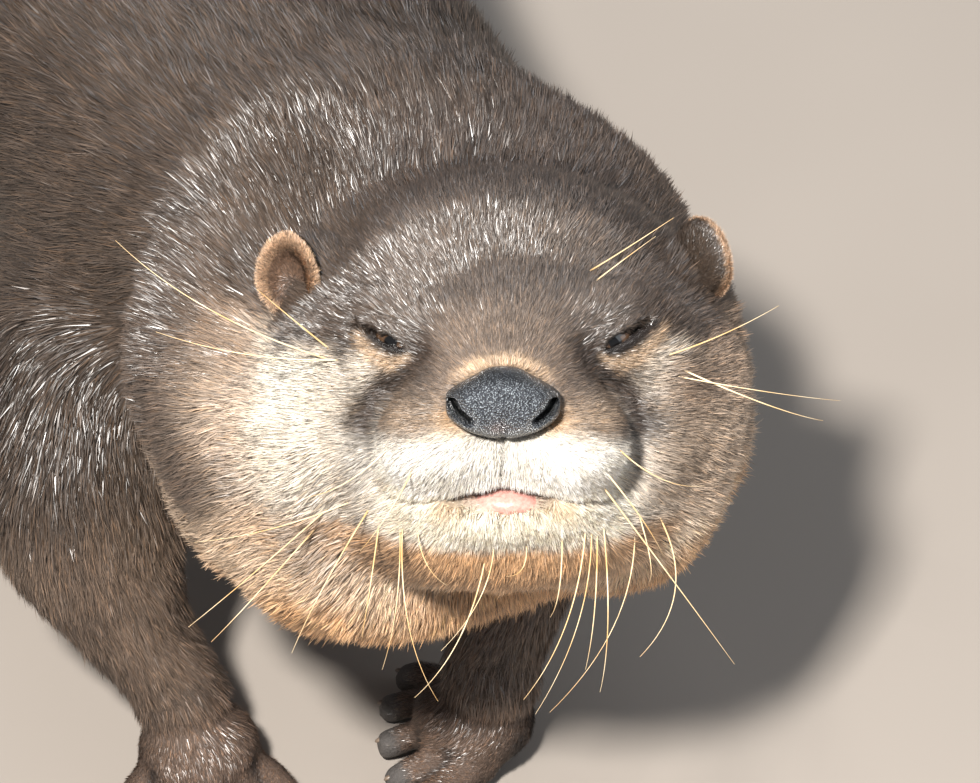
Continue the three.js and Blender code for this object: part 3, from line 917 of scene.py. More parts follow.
# Turn is the angle round a part over a full turn, and along is the share of its length.
def unwrapPlaces():
    turn = np.zeros(len(skinPoints))
    along01 = np.zeros(len(skinPoints))
    cell = np.empty(len(skinPoints), int)
    for k, name in enumerate(railNames):
        mine = partOf == k
        nearest, x, z, out = places[name]
        turn[mine] = np.arctan2(z[mine], x[mine]) / (2 * math.pi) + 0.5
        along01[mine] = rails[name]["t"][nearest[mine]] / rails[name]["t"][-1]
        cell[mine] = k + 1
    h = headPoints[isHead] - np.array(headPose["core"])
    turn[isHead] = np.arctan2(h[:, 2], h[:, 0]) / (2 * math.pi) + 0.5
    along01[isHead] = np.arccos(np.clip(unit(h)[:, 1], -1, 1)) / math.pi
    cell[isHead] = 0
    return cell, turn, along01


cellOf, turnOf, alongOf = unwrapPlaces()
cellBoxes = np.array([cells["head"]] + [cells[n] for n in railNames])


def onMap(corners, first):  # map places of corner points, kept beside the first point's place
    turn = turnOf[first] + (turnOf[corners] - turnOf[first]) - np.round(turnOf[corners] - turnOf[first])
    turn = np.where(cellOf[corners] == cellOf[first], turn, turnOf[first])
    down = np.where(cellOf[corners] == cellOf[first], alongOf[corners], alongOf[first])
    box = cellBoxes[cellOf[first]]
    return np.stack([box[..., 0] + box[..., 2] * turn, box[..., 1] + box[..., 3] * down], axis=-1)


# ---- meshes from arrays ----
def makePiece(name, points, faces, normals=None, tint=None, maps=None, shiftNow=True):
    points = (points + (rowShift if shiftNow else 0)) / 1000
    mesh = bpy.data.meshes.new(name)
    sizesOf = np.concatenate([np.full(len(f), f.shape[1]) for f in faces])
    corners = np.concatenate([f.ravel() for f in faces])
    mesh.vertices.add(len(points))
    mesh.vertices.foreach_set("co", points.ravel())
    mesh.loops.add(len(corners))
    mesh.loops.foreach_set("vertex_index", corners)
    mesh.polygons.add(len(sizesOf))
    mesh.polygons.foreach_set("loop_start", np.concatenate([[0], np.cumsum(sizesOf)[:-1]]))
    mesh.update(calc_edges=True)
    mesh.polygons.foreach_set("use_smooth", np.ones(len(sizesOf), bool))
    if tint is not None:
        layer = mesh.color_attributes.new("tint", "FLOAT_COLOR", "POINT")
        tint = tint if tint.shape[1] == 4 else np.concatenate([tint, np.zeros((len(tint), 1))], axis=1)
        layer.data.foreach_set("color", tint.ravel())
    for mapName, place in (maps or {}).items():
        mesh.uv_layers.new(name=mapName).data.foreach_set("uv", place.ravel())
    if normals is not None:
        mesh.normals_split_custom_set_from_vertices(normals)
    mesh.validate()
    piece = bpy.data.objects.new(name, mesh)
    bpy.context.scene.collection.objects.link(piece)
    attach(piece, "root")
    return piece


# ---- materials ----
class Sock:  # a shader value that can be added, taken away and multiplied
    def __init__(self, book, socket):
        self.book, self.socket = book, socket

    def math(self, operation, first, second):
        return self.book.node("ShaderNodeMath", {"operation": operation}, [first, second])

    def __add__(self, other):
        return self.math("ADD", self, other)

    def __radd__(self, other):
        return self.math("ADD", other, self)

    def __sub__(self, other):
        return self.math("SUBTRACT", self, other)

    def __rsub__(self, other):
        return self.math("SUBTRACT", other, self)

    def __mul__(self, other):
        return self.math("MULTIPLY", self, other)

    def __rmul__(self, other):
        return self.math("MULTIPLY", other, self)


class Book:  # one material's node tree
    def __init__(self, name):
        self.material = bpy.data.materials.new(name)
        self.material.use_nodes = True
        self.tree = self.material.node_tree
        self.shader = self.tree.nodes["Principled BSDF"]

    def node(self, kind, settings=None, values=(), out=0):
        made = self.tree.nodes.new(kind)
        for key, value in (settings or {}).items():
            if key == "stops":
                ramp = made.color_ramp
                while len(ramp.elements) < len(value):
                    ramp.elements.new(0.5)
                for element, (place, colour) in zip(ramp.elements, value):
                    element.position, element.color = place, (*colour, 1)
            else:
                setattr(made, key, value)
        pairs = values.items() if isinstance(values, dict) else enumerate(values)
        for key, value in pairs:
            self.put(made.inputs[key], value)
        return Sock(self, made.outputs[out])

    def put(self, socket, value):
        if isinstance(value, Sock):
            self.tree.links.new(value.socket, socket)
        elif isinstance(value, (tuple, list, np.ndarray)) and socket.type == "RGBA":
            socket.default_value = (*[float(v) for v in value[:3]], 1)
        else:
            socket.default_value = value

    def principled(self, **values):
        for key, value in values.items():
            self.put(self.shader.inputs[key.replace("_", " ")], value)
        return self.material

    def attribute(self, name, out="Color"):  # Alpha of the tint is how wet and glossy a place is
        return self.node("ShaderNodeAttribute", {"attribute_name": name}, out=out)

    def place(self):
        return self.node("ShaderNodeTexCoord", out="Object")

    def noise(self, size, detail=3, rough=0.55, where=None):  # size in metres
        where = where or self.place()
        values = {"Vector": where, "Scale": 1 / size, "Detail": detail, "Roughness": rough}
        return self.node("ShaderNodeTexNoise", None, values, out="Fac")

    def blend(self, a, b, share, how="MIX"):
        settings = {"data_type": "RGBA", "blend_type": how}
        return self.node("ShaderNodeMix", settings, {0: share, 6: a, 7: b}, out=2)

    def ramp(self, value, stops):
        return self.node("ShaderNodeValToRGB", {"stops": stops}, {"Fac": value}, out="Color")

    def bumped(self, height, depth, strength=1.0):
        values = {"Height": height, "Distance": depth, "Strength": strength}
        return self.node("ShaderNodeBump", None, values, out="Normal")


# A material whose colour runs between two paints over a fine noise of the given size in metres.
def twoTone(name, size, detail, stops, dark, light, bump=None, **values):
    book = Book(name)
    grain = book.noise(size, detail)
    low, high = stops
    colour = book.ramp(grain, [(low, tuple(paint(*dark))), (high, tuple(paint(*light)))])
    if bump:
        values["Normal"] = book.bumped(grain, *bump)
    return book.principled(Base_Color=colour, **values)


# The tuft's tint times a streak that runs down it; the wetter, the smoother.
def coatMaterial():
    book = Book("coat")
    lock = book.node("ShaderNodeUVMap", {"uv_map": "lock"}, out="UV")
    streak = book.noise(1 / 6, 2, 0.6, lock)
    grey = book.ramp(streak, [(0.3, (0.7, 0.7, 0.7)), (0.72, (1.2, 1.18, 1.15))])
    colour = book.blend(book.attribute("tint"), grey, 1.0, "MULTIPLY")
    rough = 0.58 - 0.27 * book.attribute("tint", "Alpha")
    return book.principled(Base_Color=colour, Roughness=rough, Specular_IOR_Level=1.0)


# The tint times a fine grain, which also makes the bumps; smooth where it is wet.
def skinMaterial():
    book = Book("skin")
    fine = book.noise(0.0005, 4, 0.7)
    broad = book.noise(0.004, 3)
    grey = book.ramp(fine, [(0.3, (0.5, 0.5, 0.5)), (0.75, (0.95, 0.95, 0.95))])
    colour = book.blend(book.attribute("tint"), grey, 1.0, "MULTIPLY")
    rough = 0.65 - 0.4 * book.attribute("tint", "Alpha")
    height = fine * 0.7 + broad * 0.3
    return book.principled(Base_Color=colour, Roughness=rough, Normal=book.bumped(height, 0.0006, 0.8))


skinMaterialMade = skinMaterial()
coatMaterialMade = coatMaterial()

skinMap = onMap(skinQuads, skinQuads[:, :1]).reshape(-1, 2)
wet = moist[:, None]
skinTint = np.concatenate([skinTones * (0.6 + 0.4 * wet), wet], axis=1)  # darker under the coat
skin = makePiece("skin", skinPoints, [skinQuads], tint=skinTint, maps={"OFBake": skinMap})
skin.data.materials.append(skinMaterialMade)
fleshNodes = ["head", "lower_jaw", "ear_l", "ear_r", "neck"]
fleshNodes += ["trunk", "tail_base", "tail_middle", "tail_tip"]
for first, second, foot in (("upper_arm", "forearm", "fore_paw"), ("thigh", "shank", "hind_foot")):
    for letter in "lr":
        fleshNodes += [f"{first}_{letter}", f"{second}_{letter}", f"{foot}_{letter}"]
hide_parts(*fleshNodes)
say("skin made")

# ---- the coat's fields at each skin point ----
def lidGap(spec):  # how far outside the almond round either eye
    found = np.full(len(skinPoints), 9.0)
    for side in (1, -1):
        a, b, w, inside = almond(headPoints, side, spec)
        near = (np.linalg.norm(headPoints - lidFrame(side)[0], axis=-1) < 15) & (w > -1)
        found = np.where(near, np.minimum(found, -inside), found)
    return found


side, forward, height = np.abs(headPoints[:, 0]), headPoints[:, 1], headPoints[:, 2]
hidden = onShell("head") & (neckDistance(skinPoints)[0] < -0.4) & (headGap > 4)
hidden |= onShell("body") & (headSkin(headPoints) < -0.3) & (spineT < 4)
hidden |= onShell("body") & (partOf > 0) & (limbT > 0.9) & (limbShare > 0.5)
hidden |= isFoot & (limbT < 0.86) & (skinPoints[:, 2] > 18)
bareGap = lidGap("bareLid")
noseGap = ellipsoid(headPoints, face["noseAt"], face["noseHalf"])
lipGap = np.where((forward > 2) & (side < 18), np.abs(height - mouthLevel(headPoints[:, 0])), 9)
lipGap = np.minimum(lipGap, np.where(forward > 4, -mouthGap(headPoints[:, 0], height), 9))
grown = (1 - bare) * rise(bareGap, -0.3, 0.3) * rise(noseGap, 0, 0.4) * rise(lipGap, 0.2, 0.6)
grown[hidden] = 0


# Millimetres: on the head they grow from the muzzle back and towards the throat, and shrink round
# the eyes and nose; elsewhere they follow the place along the spine or limb.
def lengthOfCoat():
    back = rise(-forward, -12, 26)
    onHead = 2.2 + 2.3 * back + 1.4 * rise(-height, 16, 32) * back
    onHead *= 0.5 + 0.5 * rise(bareGap, 0, 5)
    onHead *= 0.7 + 0.3 * rise(noseGap, 0.5, 5)
    onSpine = np.interp(spineT, [0, 2, 4, 6, 10, 12, 15], [5.5, 6, 7, 8, 7.5, 6, 4])
    onLimb = np.interp(limbT, [0, 0.5, 0.85, 1], [7, 5.5, 3.6, 3])
    onFoot = 1.3 + 2.2 * rise(skinPoints[:, 2], 10, 22)
    length = onSpine * (1 - limbShare) + onLimb * limbShare
    length = np.where(isFoot, np.minimum(length, onFoot), length)
    length = length * (1 - nearHead) + onHead * nearHead
    length[onShell("ear")] = 1.4
    return length


coatLength = lengthOfCoat()
coatWidth = np.interp(coatLength, [1, 2, 4, 6, 8], [0.16, 0.2, 0.3, 0.42, 0.55])
coatLift = np.interp(coatLength, [1, 2, 4, 8], [24, 22, 17, 13])  # degrees
thickness = 1 / (coatLength * coatWidth)  # how many tufts cover a place once
thickness *= np.interp(spineT, [3, 5], [1.5, 1])  # finest towards the head
paleness = rise(skinTones.mean(axis=1), 0.2, 0.45)
streaked = nearHead * bump(side - 32, 11) * bump(height + 9, 9) * rise(-forward, -4, 8)  # upper cheeks
onTop = np.where(isHead, rise(height, -8, 2), rise(skinNormals[:, 2], -0.2, 0.5))
wetness = np.clip(0.25 + 0.75 * onTop, 0, 1) * (1 - 0.55 * paleness)


# How far, as a tangent, the light sees a place's hairs tipped towards their roots. The sun's gleam
# falls where this suits the slope: on the forehead, the roll of the neck and the shoulder.
def leanOfScales():
    toLeft = headPoints[:, 0]
    forehead = rise(-forward - 8 * rise(toLeft, -12, 0), -3, 4) * (1 - rise(-forward, 23, 28))
    onHead = forehead * (0.9 - 0.5 * rise(toLeft, 0, 18)) - 0.2
    onNeck = 0.36 - 0.65 * np.maximum(rise(spineT, 3, 3.4), 0.8 * rise(spineAside, -14, 4))
    onLimb = 0.23 - 0.45 * rise(limbT, 0.25, 0.45)
    lean = np.where(isHead, onHead, onNeck * (1 - limbShare) + onLimb * limbShare)
    return lean * (1 - 0.6 * paleness)


scaleLean = leanOfScales()
darkStrand = 0.6 - 0.27 * paleness * (1 - isHead * rise(forward, -4, 3))  # how dark the dark tufts are


# Locks: space is cut into cubes of one size, each with a lock's middle somewhere inside it, and a
# place belongs to the nearest middle. Gives that middle and a random value of the lock.
def locksOf(p, size, seed):
    cube = np.floor(p / size - 0.5).astype(np.int64)
    best = np.full(len(p), 1e9)
    middle, value = np.zeros_like(p), np.zeros(len(p))
    for corner in range(8):
        here = cube + [corner & 1, corner >> 1 & 1, corner >> 2]
        mixedUp = (here * [73856093, 19349663, 83492791]).sum(axis=1) ^ (seed * 2654435761)
        draws = []
        for prime in (2246822519, 3266489917, 668265263, 374761393):
            h = (mixedUp * prime) & 0xFFFFFFFF
            h = ((h ^ (h >> 15)) * 2246822519) & 0xFFFFFFFF
            draws.append(((h ^ (h >> 13)) & 0xFFFFFF) / 0xFFFFFF)
        place = (here + 0.15 + 0.7 * np.stack(draws[:3], axis=1)) * size
        gap = np.linalg.norm(p - place, axis=1)
        nearer = gap < best
        best = np.where(nearer, gap, best)
        middle[nearer] = place[nearer]
        value[nearer] = draws[3][nearer]
    return middle, value


tuft = {
    "lengths": (0.72, 1.2),  # least and greatest, as shares of the place's
    "widths": (0.7, 1.3),
    "swirl": ((13, 0.13), (4, 0.09)),  # how far the lie wanders, and over how many millimetres
    "stray": 0.12,
    "roll": 0.45,  # how far a blade is turned about its length
    "rootDepth": 0.2,
    "gather": (0.6, 0.45),  # aside and along, how far tips are drawn to the middle of their lock
    "darkShare": 0.24,
    "fairShare": 0.22,
    "fairTone": 1.4,
    "plainTones": (0.75, 1.1),
    "lockTones": (0.82, 0.36),  # the darkest lock's, and how much more the lightest has
    "golden": (1.08, 0.98, 0.86),
    "shade": (0.7, 0.7, 1.12),  # at the root's two corners and the tip
    "round": 0.85,  # radians to either side that the light sees a hair turned
    "leanSpread": 0.15,
    "bakePatch": 0.003,
}


# Each tuft is a blade: from its root it rises at the lift angle along the lie and ends in a point
# that is drawn towards its lock's. Roots are drawn at random in proportion to area and thickness.
def growCoat(name, chosen, count, lockSize, seed):
    rng = np.random.default_rng(seed)
    quads = skinQuads[chosen[skinQuads[:, 0]]]
    a, b, c, d = (skinPoints[quads[:, k]] for k in range(4))
    area = np.linalg.norm(np.cross(c - a, d - b), axis=-1) / 2
    want = area * (thickness * grown)[quads].mean(axis=1)
    count = int(count * (1))
    picked = rng.choice(len(quads), count, p=want / want.sum())
    s, t = rng.random((2, count))
    share4 = np.stack([(1 - s) * (1 - t), s * (1 - t), s * t, (1 - s) * t], axis=1)
    corners = quads[picked]

    def here(field):
        values = field[corners]
        return (values * (share4 if values.ndim == 2 else share4[..., None])).sum(axis=1)

    keep = rng.random(count) < here(grown) + 0.1
    corners, share4, count = corners[keep], share4[keep], int(keep.sum())
    root, normal, way = here(skinPoints), unit(here(skinNormals)), here(skinLie)
    side = unit(np.cross(normal, way))
    (broad, most), (fine, least) = tuft["swirl"]
    swirl = most * ripple(root, broad, seed + 1) + least * ripple(root, fine, seed + 2)
    swirl += tuft["stray"] * rng.normal(size=count)
    way = unit(unit(way) + side * swirl[:, None])
    side = np.cross(normal, way)
    middle, lockValue = locksOf(root, lockSize, 7)
    toLock = middle - root
    length = here(coatLength) * rng.uniform(*tuft["lengths"], count)
    length *= 1 + 0.1 * ripple(root, 6, seed + 3)
    width = here(coatWidth) * rng.uniform(*tuft["widths"], count)
    lift = np.radians(here(coatLift) * np.clip(1 + 0.3 * rng.normal(size=count), 0.3, 2.2))
    lift = lift * (0.8 + 0.4 * lockValue)
    roll = tuft["roll"] * rng.normal(size=count)
    blade = side * np.cos(roll)[:, None] + normal * np.sin(roll)[:, None]
    half = blade * (width / 2)[:, None]
    root = root - normal * tuft["rootDepth"]
    tip = root + length[:, None] * (way * np.cos(lift)[:, None] + normal * np.sin(lift)[:, None])
    for axis, pull in zip((side, way), tuft["gather"]):  # the shortest keep to themselves
        tip += axis * (pull * rise(length, 1.2, 2.2) * dot(toLock, axis))[:, None]
    points = np.stack([root + half, root - half, tip], axis=1)
    points[..., 2] = np.maximum(points[..., 2], 0.12)

    tone, pale = here(skinTones), here(paleness)
    draw = rng.random(count)
    dark = draw < tuft["darkShare"] - 0.06 * pale + 0.22 * here(streaked)
    fair = draw > 1 - tuft["fairShare"]
    strand = np.where(fair, tuft["fairTone"] - 0.25 * pale, rng.uniform(*tuft["plainTones"], count))
    strand = np.where(dark, here(darkStrand), strand)
    darkest, more = tuft["lockTones"]
    tone = tone * (strand * (darkest + more * lockValue))[:, None]
    golden = (fair & (rng.random(count) < 0.5))[:, None]
    tone = np.where(golden, tone * tuft["golden"], tone)
    wet = here(wetness) * rng.uniform(0.45, 1, count)
    tint = np.clip(tone[:, None] * np.array(tuft["shade"])[None, :, None], 0.002, 0.93)
    tint = np.concatenate([tint, np.repeat(wet[:, None], 3, axis=1)[..., None]], axis=2)
    ahead = unit(tip - root)
    over = unit(normal - ahead * dot(normal, ahead)[:, None])
    turn = tuft["round"] * rng.uniform(-1, 1, count)[:, None]  # a blade shows one side of a round hair
    shine = unit(over * np.cos(turn) + np.cross(ahead, over) * np.sin(turn) + 0.15 * normal)
    lean = here(scaleLean) + tuft["leanSpread"] * rng.normal(size=count)
    shine = unit(shine - lean[:, None] * ahead)  # as the scales of a hair are

    first = corners[:, 0]
    box = cellBoxes[cellOf[first]]
    same = cellOf[corners] == cellOf[first][:, None]
    turn = turnOf[corners] - turnOf[first][:, None]
    turn = np.where(same, turn - np.round(turn), 0)
    down = np.where(same, alongOf[corners] - alongOf[first][:, None], 0)
    centre = onMap(first[:, None], first[:, None])[:, 0]
    centre += box[:, 2:] * np.stack([dot(share4, turn), dot(share4, down)], axis=1)
    corner = np.array([(0, 0), (1, 0), (0.5, 1)])
    bake = centre[:, None] + tuft["bakePatch"] * (corner - 0.5)
    streaks = corner * (1.0, 0.12) + rng.uniform(0, 60, (count, 1, 2))
    piece = makePiece(
        name,
        points.reshape(-1, 3),
        [np.arange(3 * count).reshape(-1, 3)],
        normals=np.repeat(shine, 3, axis=0),
        tint=tint.reshape(-1, 4),
        maps={"OFBake": bake.reshape(-1, 2), "lock": streaks.reshape(-1, 2)},
    )
    piece.data.materials.append(coatMaterialMade)
    perMm = count / (area * grown[quads].mean(axis=1)).sum()
    say(f"{name}: {count} tufts, {perMm:.1f} to a square millimetre")


onBody = onShell("body")
onLimb = onBody & (partOf > 0)
onSpine = onBody & ~onLimb
regions = [  # name, skin points, how many tufts, and the size of a lock
    ("coat_muzzle", isHead & (forward > -9), 190000, 1.0),
    ("coat_cheeks", isHead & (forward <= -9) & (forward > -33), 190000, 1.4),
    ("coat_crown", isHead & (forward <= -33), 140000, 1.9),
    ("coat_neck", onSpine & (spineT < 2.6), 190000, 2.2),
    ("coat_shoulders", onSpine & (spineT >= 2.6) & (spineT < 5), 170000, 2.6),
    ("coat_chest", onSpine & (spineT >= 5) & (spineT < 7.2), 130000, 3),
    ("coat_loin", onSpine & (spineT >= 7.2) & (spineT < 9.8), 120000, 3),
    ("coat_tail", onSpine & (spineT >= 9.8), 100000, 2.6),
    ("coat_forelegs", onLimb & (partOf < 3), 120000, 2),
    ("coat_hindlegs", onLimb & (partOf > 2), 90000, 2.4),
    ("coat_paws", isFoot, 90000, 1.3),
]
for k, (name, chosen, count, lockSize) in enumerate(regions):
    growCoat(name, chosen, count, lockSize, 100 + 10 * k)


# ---- eyes: a ball with a raised cornea over the iris ----
eyeSpec = {
    "iris": 3.3,
    "pupil": 1.2,
    "cornea": 0.35,
    "paints": ((30, 24, 21), (74, 54, 38), (6, 5, 5)),  # of the white, the iris and the pupil
}


# The ball's radius, raised over the iris by a dome that falls with the square of the angle.
def makeEye(letter, side):
    at, gaze, alongSlit, over = lidFrame(side)
    ball = ballGrid(70, 72)  # its pole is the gaze
    polar = np.arccos(np.clip(ball[..., 1], -1, 1))
    radius = headPose["eyeRadius"] * 0.985
    r = radius + eyeSpec["cornea"] * np.maximum(1 - (polar * radius / (eyeSpec["iris"] * 1.15)) ** 2, 0)
    local = at + r[..., None] * (ball @ np.array([alongSlit, gaze, over]))
    points, quads = closedGrid(fromHead(local))
    out = (polar * radius).ravel()
    white, iris, pupil = (paint(*tone) for tone in eyeSpec["paints"])
    spokes = 1 + 0.25 * np.sin(26 * np.arctan2(ball[..., 2], ball[..., 0]).ravel())
    tint = np.tile(white, (len(out), 1))
    tint = laid(tint, iris * spokes[:, None], 1 - rise(out - eyeSpec["iris"], -0.15, 0.15))
    tint = laid(tint, pupil, 0.8 * bump(out - eyeSpec["iris"], 0.35))
    tint = laid(tint, pupil, 1 - rise(out - eyeSpec["pupil"], -0.12, 0.12))
    piece = makePiece("eyeball_" + letter, points, [outward(points, quads)], tint=np.clip(tint, 0, 1))
    book = Book("eye_" + letter)
    colour = book.attribute("tint")
    piece.data.materials.append(
        book.principled(Base_Color=colour, Roughness=0.06, Coat_Weight=1.0, Coat_Roughness=0.03)
    )
    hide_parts("eye_" + letter)


for side, letter in ((1, "l"), (-1, "r")):
    makeEye(letter, side)
say("eyes")


# ---- nose: a broad pad, domed in front, with comma nostrils low at its sides and a middle groove
nose = {
    "nostril": [(8.4, 0.5), (7.6, -0.9), (5.8, -2.3)],  # aside and up from the pad's middle
    "nostrilWidth": 0.75,
    "nostrilDepth": 2.4,
    "wing": 0.5,  # how far the skin round a nostril stands up
    "grooveDepth": 0.8,
    "pebbles": 2800.0,  # to a metre
    "grey": (142, 149, 152),
    "pink": (170, 134, 126),
}


# A squared ball, narrower above and below. Nostrils and groove are sunk, and the wings raised, by
# how near a point is to their paths.
def makeNose():
    at, half = np.array(face["noseAt"]), np.array(face["noseHalf"])
    ball = ballGrid(110, 150)
    x, f, u = ball[..., 0], ball[..., 1], ball[..., 2]
    around = np.maximum(np.hypot(x, u), 1e-6)
    square = around * np.maximum(np.abs(x) ** 2.6 + np.abs(u) ** 2.6, 1e-9) ** (-1 / 2.6)
    taper = 1 - 0.4 * rise(u, 0.2, 0.8) - 0.36 * rise(-u, 0.25, 1.1)
    px, pf, pu = x * half[0] * square * taper, f * half[1], u * half[2] * square
    flat = np.stack([np.abs(px).ravel(), pu.ravel()], axis=1)
    gap = pathDistance(flat, nose["nostril"]).reshape(px.shape)
    front = rise(f, -0.1, 0.25)
    hole = 1 - rise(gap, nose["nostrilWidth"] * 0.4, nose["nostrilWidth"] * 1.5)
    pf = pf - nose["nostrilDepth"] * hole * front
    pf = pf + nose["wing"] * bump(gap - 2.2, 0.9) * front
    pf = pf - nose["grooveDepth"] * bump(px, 0.6) * rise(-pu, 0.5, 4) * front
    pf = pf + 0.35 * bump(np.hypot(px / 4.5, (pu + 0.5) / 3.4), 0.9) * front
    local = at + np.stack([px, pf, pu], axis=-1)
    points, quads = closedGrid(fromHead(local))
    # Painted shade: the sunk nostrils are tinted almost black, and the pad darkens towards its rim.
    dark = (hole * front).reshape(-1, 1)
    pink = 0.5 * bump(np.hypot(px + 0.8, pu + 3.4), 1.3).reshape(-1, 1)
    rim = 0.75 * rise(np.hypot(px / half[0], (pu + 0.4) / half[2]), 0.62, 1).reshape(-1, 1)
    tint = paint(*nose["grey"]) * (1 - pink) + paint(*nose["pink"]) * pink
    tint = tint * (1 - 0.985 * dark) * (1 - rim)
    piece = makePiece("nose_pad", points, [outward(points, quads)], tint=tint)
    book = Book("nosePad")
    values = {"Vector": book.place(), "Scale": nose["pebbles"]}
    pebbles = book.node("ShaderNodeTexVoronoi", {"feature": "F1"}, values, out="Distance")
    grain = book.noise(0.0009, 3)
    tone = book.ramp(grain, [(0.3, (0.55, 0.55, 0.58)), (0.75, (1.5, 1.5, 1.55))])
    colour = book.blend(book.attribute("tint"), tone, 1.0, "MULTIPLY")
    # Painted shade and highlight: each pebble is lightened at its top and darkened in the gaps between
    # pebbles.
    gaps = book.ramp(pebbles, [(0.12, (1.9, 1.9, 1.9)), (0.46, (0.24, 0.24, 0.26))])
    colour = book.blend(colour, gaps, 1.0, "MULTIPLY")
    height = (1 - pebbles * 1.6) + grain * 0.4
    rough = 0.14 + grain * 0.16
    bumps = book.bumped(height, 0.0005, 1.0)
    piece.data.materials.append(
        book.principled(Base_Color=colour, Roughness=rough, Specular_IOR_Level=1.0, Normal=bumps)
    )
    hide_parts("nose")


makeNose()
say("nose")


# ---- the strip of lip and tongue that shows where the mouth is parted ----
def makeTongue():
    ball = ballGrid(30, 44)
    local = np.array([0.7, 12.4, -24.1]) + ball * (6.4, 5.2, 2.5)
    local[..., 2] -= 0.03 * (local[..., 0] - 0.7) ** 2 + 0.3 * bump(local[..., 0] - 0.7, 0.6)
    points, quads = closedGrid(fromHead(local))
    piece = makePiece("tongue", points, [outward(points, quads)])
    paints = (194, 134, 124), (222, 170, 158)
    piece.data.materials.append(
        twoTone("tongue", 0.0006, 3, (0.3, 0.7), *paints, bump=(0.0002, 0.6), Roughness=0.32)
    )


makeTongue()


# ---- whiskers: tapering hairs, each from its root on the skin to its tip in a bow ----
# Each is the root's x and u, the tip's x, f and u, and how far its middle bows out to x.
whiskers = [
    (-25.5, -29, -53, -4, -37, 0),
    (-29.5, -31, -54, 0, -51, -1),
    (-32, -35.5, -50, 2, -53, -1.5),
    (-22.5, -29, -36, 8, -53, -1),
    (-21, -31, -24, 10, -49.5, 0),
    (-17.5, -30.5, -20.5, 14, -54, 1),
    (-17, -30, -11, 16, -59, -2),
    (-14.5, -30, -9.5, 14, -39, -1),
    (-1.5, -32.5, -10.5, 16, -50, 2),
    (-3, -36, -15, 14, -59, 1.5),
    (14, -30, 3.5, 18, -58, 2),
    (15, -30.5, 5.5, 14, -62, 2.5),
    (16, -31.5, 14, 14, -54, 0.5),
    (17, -30, 16.5, 14, -58, 1),
    (22.5, -32, 8, 10, -63, 4),
    (23, -30, 25, 4, -41.5, 1),
    (26.5, -32, 23.5, 4, -55, 4.5),
    (16.5, -21.5, 39.5, 8, -55, 1),
    (4, -32.5, 0.5, 12, -38, 1),
    (10, -31, 8, 13, -45, 0.5),
    (-29, -4.5, -66, -10, 15, -2),
    (-27, -4, -59, -4, 0.5, 0),
    (-29, -3, -42, -8, 7, 0),
    (27.5, -3.5, 47, -8, 4, 0),
    (30, -6, 55, -10, -17, 2),
    (29, -7, 58, -12, -14, 1),
    (14.5, 9, 29, -8, 19.5, -1.5),
    (15.5, 8.5, 26, -9, 16, -1),
    (-15, -17, -24, 20, -31, 0),
    (17, -18, 27, 16, -33, 1),
    (19, -14, 34, 12, -22, 0),
    (-19, -14, -33, 12, -24, 0),
]


# A straight line from root to tip plus a bow of 4 s (1 - s), the radius shrinking to a fifth.
def makeWhiskers():
    rng = np.random.default_rng(77)
    steps, around = 20, 4
    table = np.array(whiskers, float)
    x, u = table[:, 0], table[:, 1]
    reach = np.full((2, len(table)), [[-40.0], [40.0]])
    low, high = crossing(lambda f: headSkin(np.stack([x, f, u], axis=1)) < 0, *reach, 18)
    roots = np.stack([x, low - 0.5, u], axis=1)
    tips, bows = table[:, 2:5], table[:, 5]
    s = np.linspace(0, 1, steps)[:, None]
    shells = []
    for root, tip, bow in zip(roots, tips, bows):
        curl = np.array([bow, 3 + rng.uniform(-1, 2), rng.uniform(-1, 1)])  # they also bow forward
        path = fromHead(root + (tip - root) * s + curl * 4 * s * (1 - s))
        radius = 0.17 * (1 - 0.8 * s) * rng.uniform(0.8, 1.15)
        way = unit(np.gradient(path, axis=0))
        across = unit(np.cross(way, headForward))
        over = np.cross(way, across)
        a = turnsOf(around)[None, :, None]
        ring = path[:, None] + radius[:, None] * (np.cos(a) * across[:, None] + np.sin(a) * over[:, None])
        shells.append(closedGrid(ring))
    points, quads = joined(shells)
    piece = makePiece("whiskers", points, [quads])
    paints = (218, 176, 116), (246, 226, 188)
    piece.data.materials.append(twoTone("whisker", 0.006, 1, (0.3, 0.7), *paints, Roughness=0.35))


makeWhiskers()
say("whiskers")


# ---- claws: short blunt pegs, one above each toe's end ----
claws = {"radius": 0.6, "length": 1.5, "drop": 0.4, "rooted": 1.6}  # rooted: back from the tip


# Rings along each peg, whose radius falls as the root of 1 less s to the power 2.4.
def makeClaws():
    shells = []
    s = np.linspace(0, 1, 9)
    for limb in limbs:
        for k in range(5):
            foot = limb["foot"]
            tip, aside = toeLine(foot, k)[1:]
            a = tip - claws["rooted"] + claws["length"] * s
            z = foot["toe"] * 1.3 - claws["drop"] * s**2
            size = claws["radius"] * np.sqrt(np.clip(1 - s**2.4, 0, 1)) * np.where(s == 0, 0, 1)
            at = footPlace(limb, a, aside(a), z)
            turn = turnsOf(10)[None, :, None]
            across = footPlace(limb, 0.0, 1.0, 0.0) - footPlace(limb, 0.0, 0.0, 0.0)
            ring = np.cos(turn) * across + np.sin(turn) * up * 0.8
            shells.append(closedGrid(at[:, None] + size[:, None, None] * ring))
    points, quads = joined(shells)
    piece = makePiece("claws", points, [outward(points, quads)])
    paints = (80, 68, 58), (120, 104, 90)
    piece.data.materials.append(twoTone("claw", 0.0012, 2, (0.3, 0.7), *paints, Roughness=0.4))


makeClaws()
say("claws")

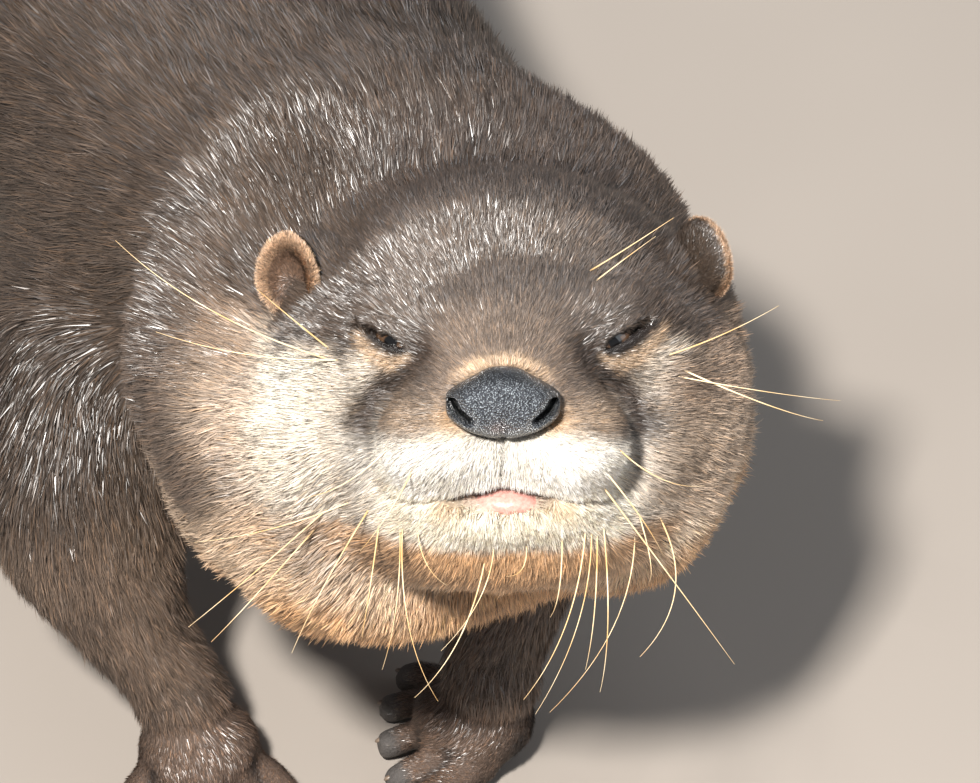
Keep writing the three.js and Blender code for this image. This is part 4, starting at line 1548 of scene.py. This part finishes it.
# ---- floor, lights and camera, in metres ----
stage = {
    "cameraAzimuth": 23,  # degrees to the animal's right of its nose
    "cameraHeight": 45,  # degrees above the floor
    "cameraDistance": 1.1,
    "frameWidth": 0.1661,  # width of the view at the eyes
    "aim": (-0.0022, -0.00856),  # aim from the eye line, to the right and up in the view
    "sensor": 36,
    "clip": (0.05, 20),
    "floorWidth": 16,
    "lights": {  # way from the eyes, distance, size, watts and colour
        "key": ((-0.46, -0.47, 1), 1.4, 0.13, 53, (1, 0.965, 0.92)),
        "fill": ((1.2, -0.9, 0.9), 1.749, 1.2, 5.5, (0.9, 0.95, 1)),
        "back": ((0.3, 1.05, 0.95), 1.4474, 0.7, 5, (0.86, 0.93, 1)),
    },
    "sky": (0.9, 0.93, 1, 1),
    "skyStrength": 0.27,
}


def makeStage():  # a pale, dull floor
    bpy.ops.mesh.primitive_plane_add(size=stage["floorWidth"])
    floor = bpy.context.active_object
    floor.name = "floor"
    paints = (146, 138, 130), (150, 142, 134)
    floor.data.materials.append(twoTone("floor", 0.12, 2, (0.35, 0.65), *paints, Roughness=0.85))


# Sets a thing at a place with its own back turned away from the target.
def look(thing, at, target):
    way = unit(np.array(at) - np.array(target))
    right = unit(np.cross(up, way))
    over = np.cross(way, right)
    m = Matrix([list(right), list(over), list(way)]).transposed().to_4x4()
    m.translation = at
    thing.matrix_world = m


# It stands off its aim by the distance, and the lens is the sensor's width times the distance over
# the width of the view.
def makeCamera():
    azimuth, height = math.radians(stage["cameraAzimuth"]), math.radians(stage["cameraHeight"])
    way = np.array(
        [-math.sin(azimuth) * math.cos(height), -math.cos(azimuth) * math.cos(height), math.sin(height)]
    )
    right = unit(np.cross(up, way))
    over = np.cross(way, right)
    target = (eyeLine + rowShift) / 1000 + right * stage["aim"][0] + over * stage["aim"][1]
    data = bpy.data.cameras.new("camera")
    camera = bpy.data.objects.new("camera", data)
    bpy.context.scene.collection.objects.link(camera)
    look(camera, target + way * stage["cameraDistance"], target)
    data.sensor_width = stage["sensor"]
    data.lens = stage["sensor"] * stage["cameraDistance"] / stage["frameWidth"]
    data.clip_start, data.clip_end = stage["clip"]
    bpy.context.scene.camera = camera
    return target


def makeLights(target):  # each stands off the target along its way
    for name, (way, distance, size, power, colour) in stage["lights"].items():
        data = bpy.data.lights.new(name, "AREA")
        data.size, data.energy, data.color = size, power, colour
        light = bpy.data.objects.new(name, data)
        bpy.context.scene.collection.objects.link(light)
        look(light, target + unit(np.array(way)) * distance, target)


makeStage()
makeLights(makeCamera())
world = bpy.data.worlds.new("studio")
world.use_nodes = True
sky = world.node_tree.nodes["Background"].inputs
sky["Color"].default_value, sky["Strength"].default_value = stage["sky"], stage["skyStrength"]
bpy.context.scene.world = world
bpy.context.scene.view_settings.view_transform = "Standard"
say("stage")
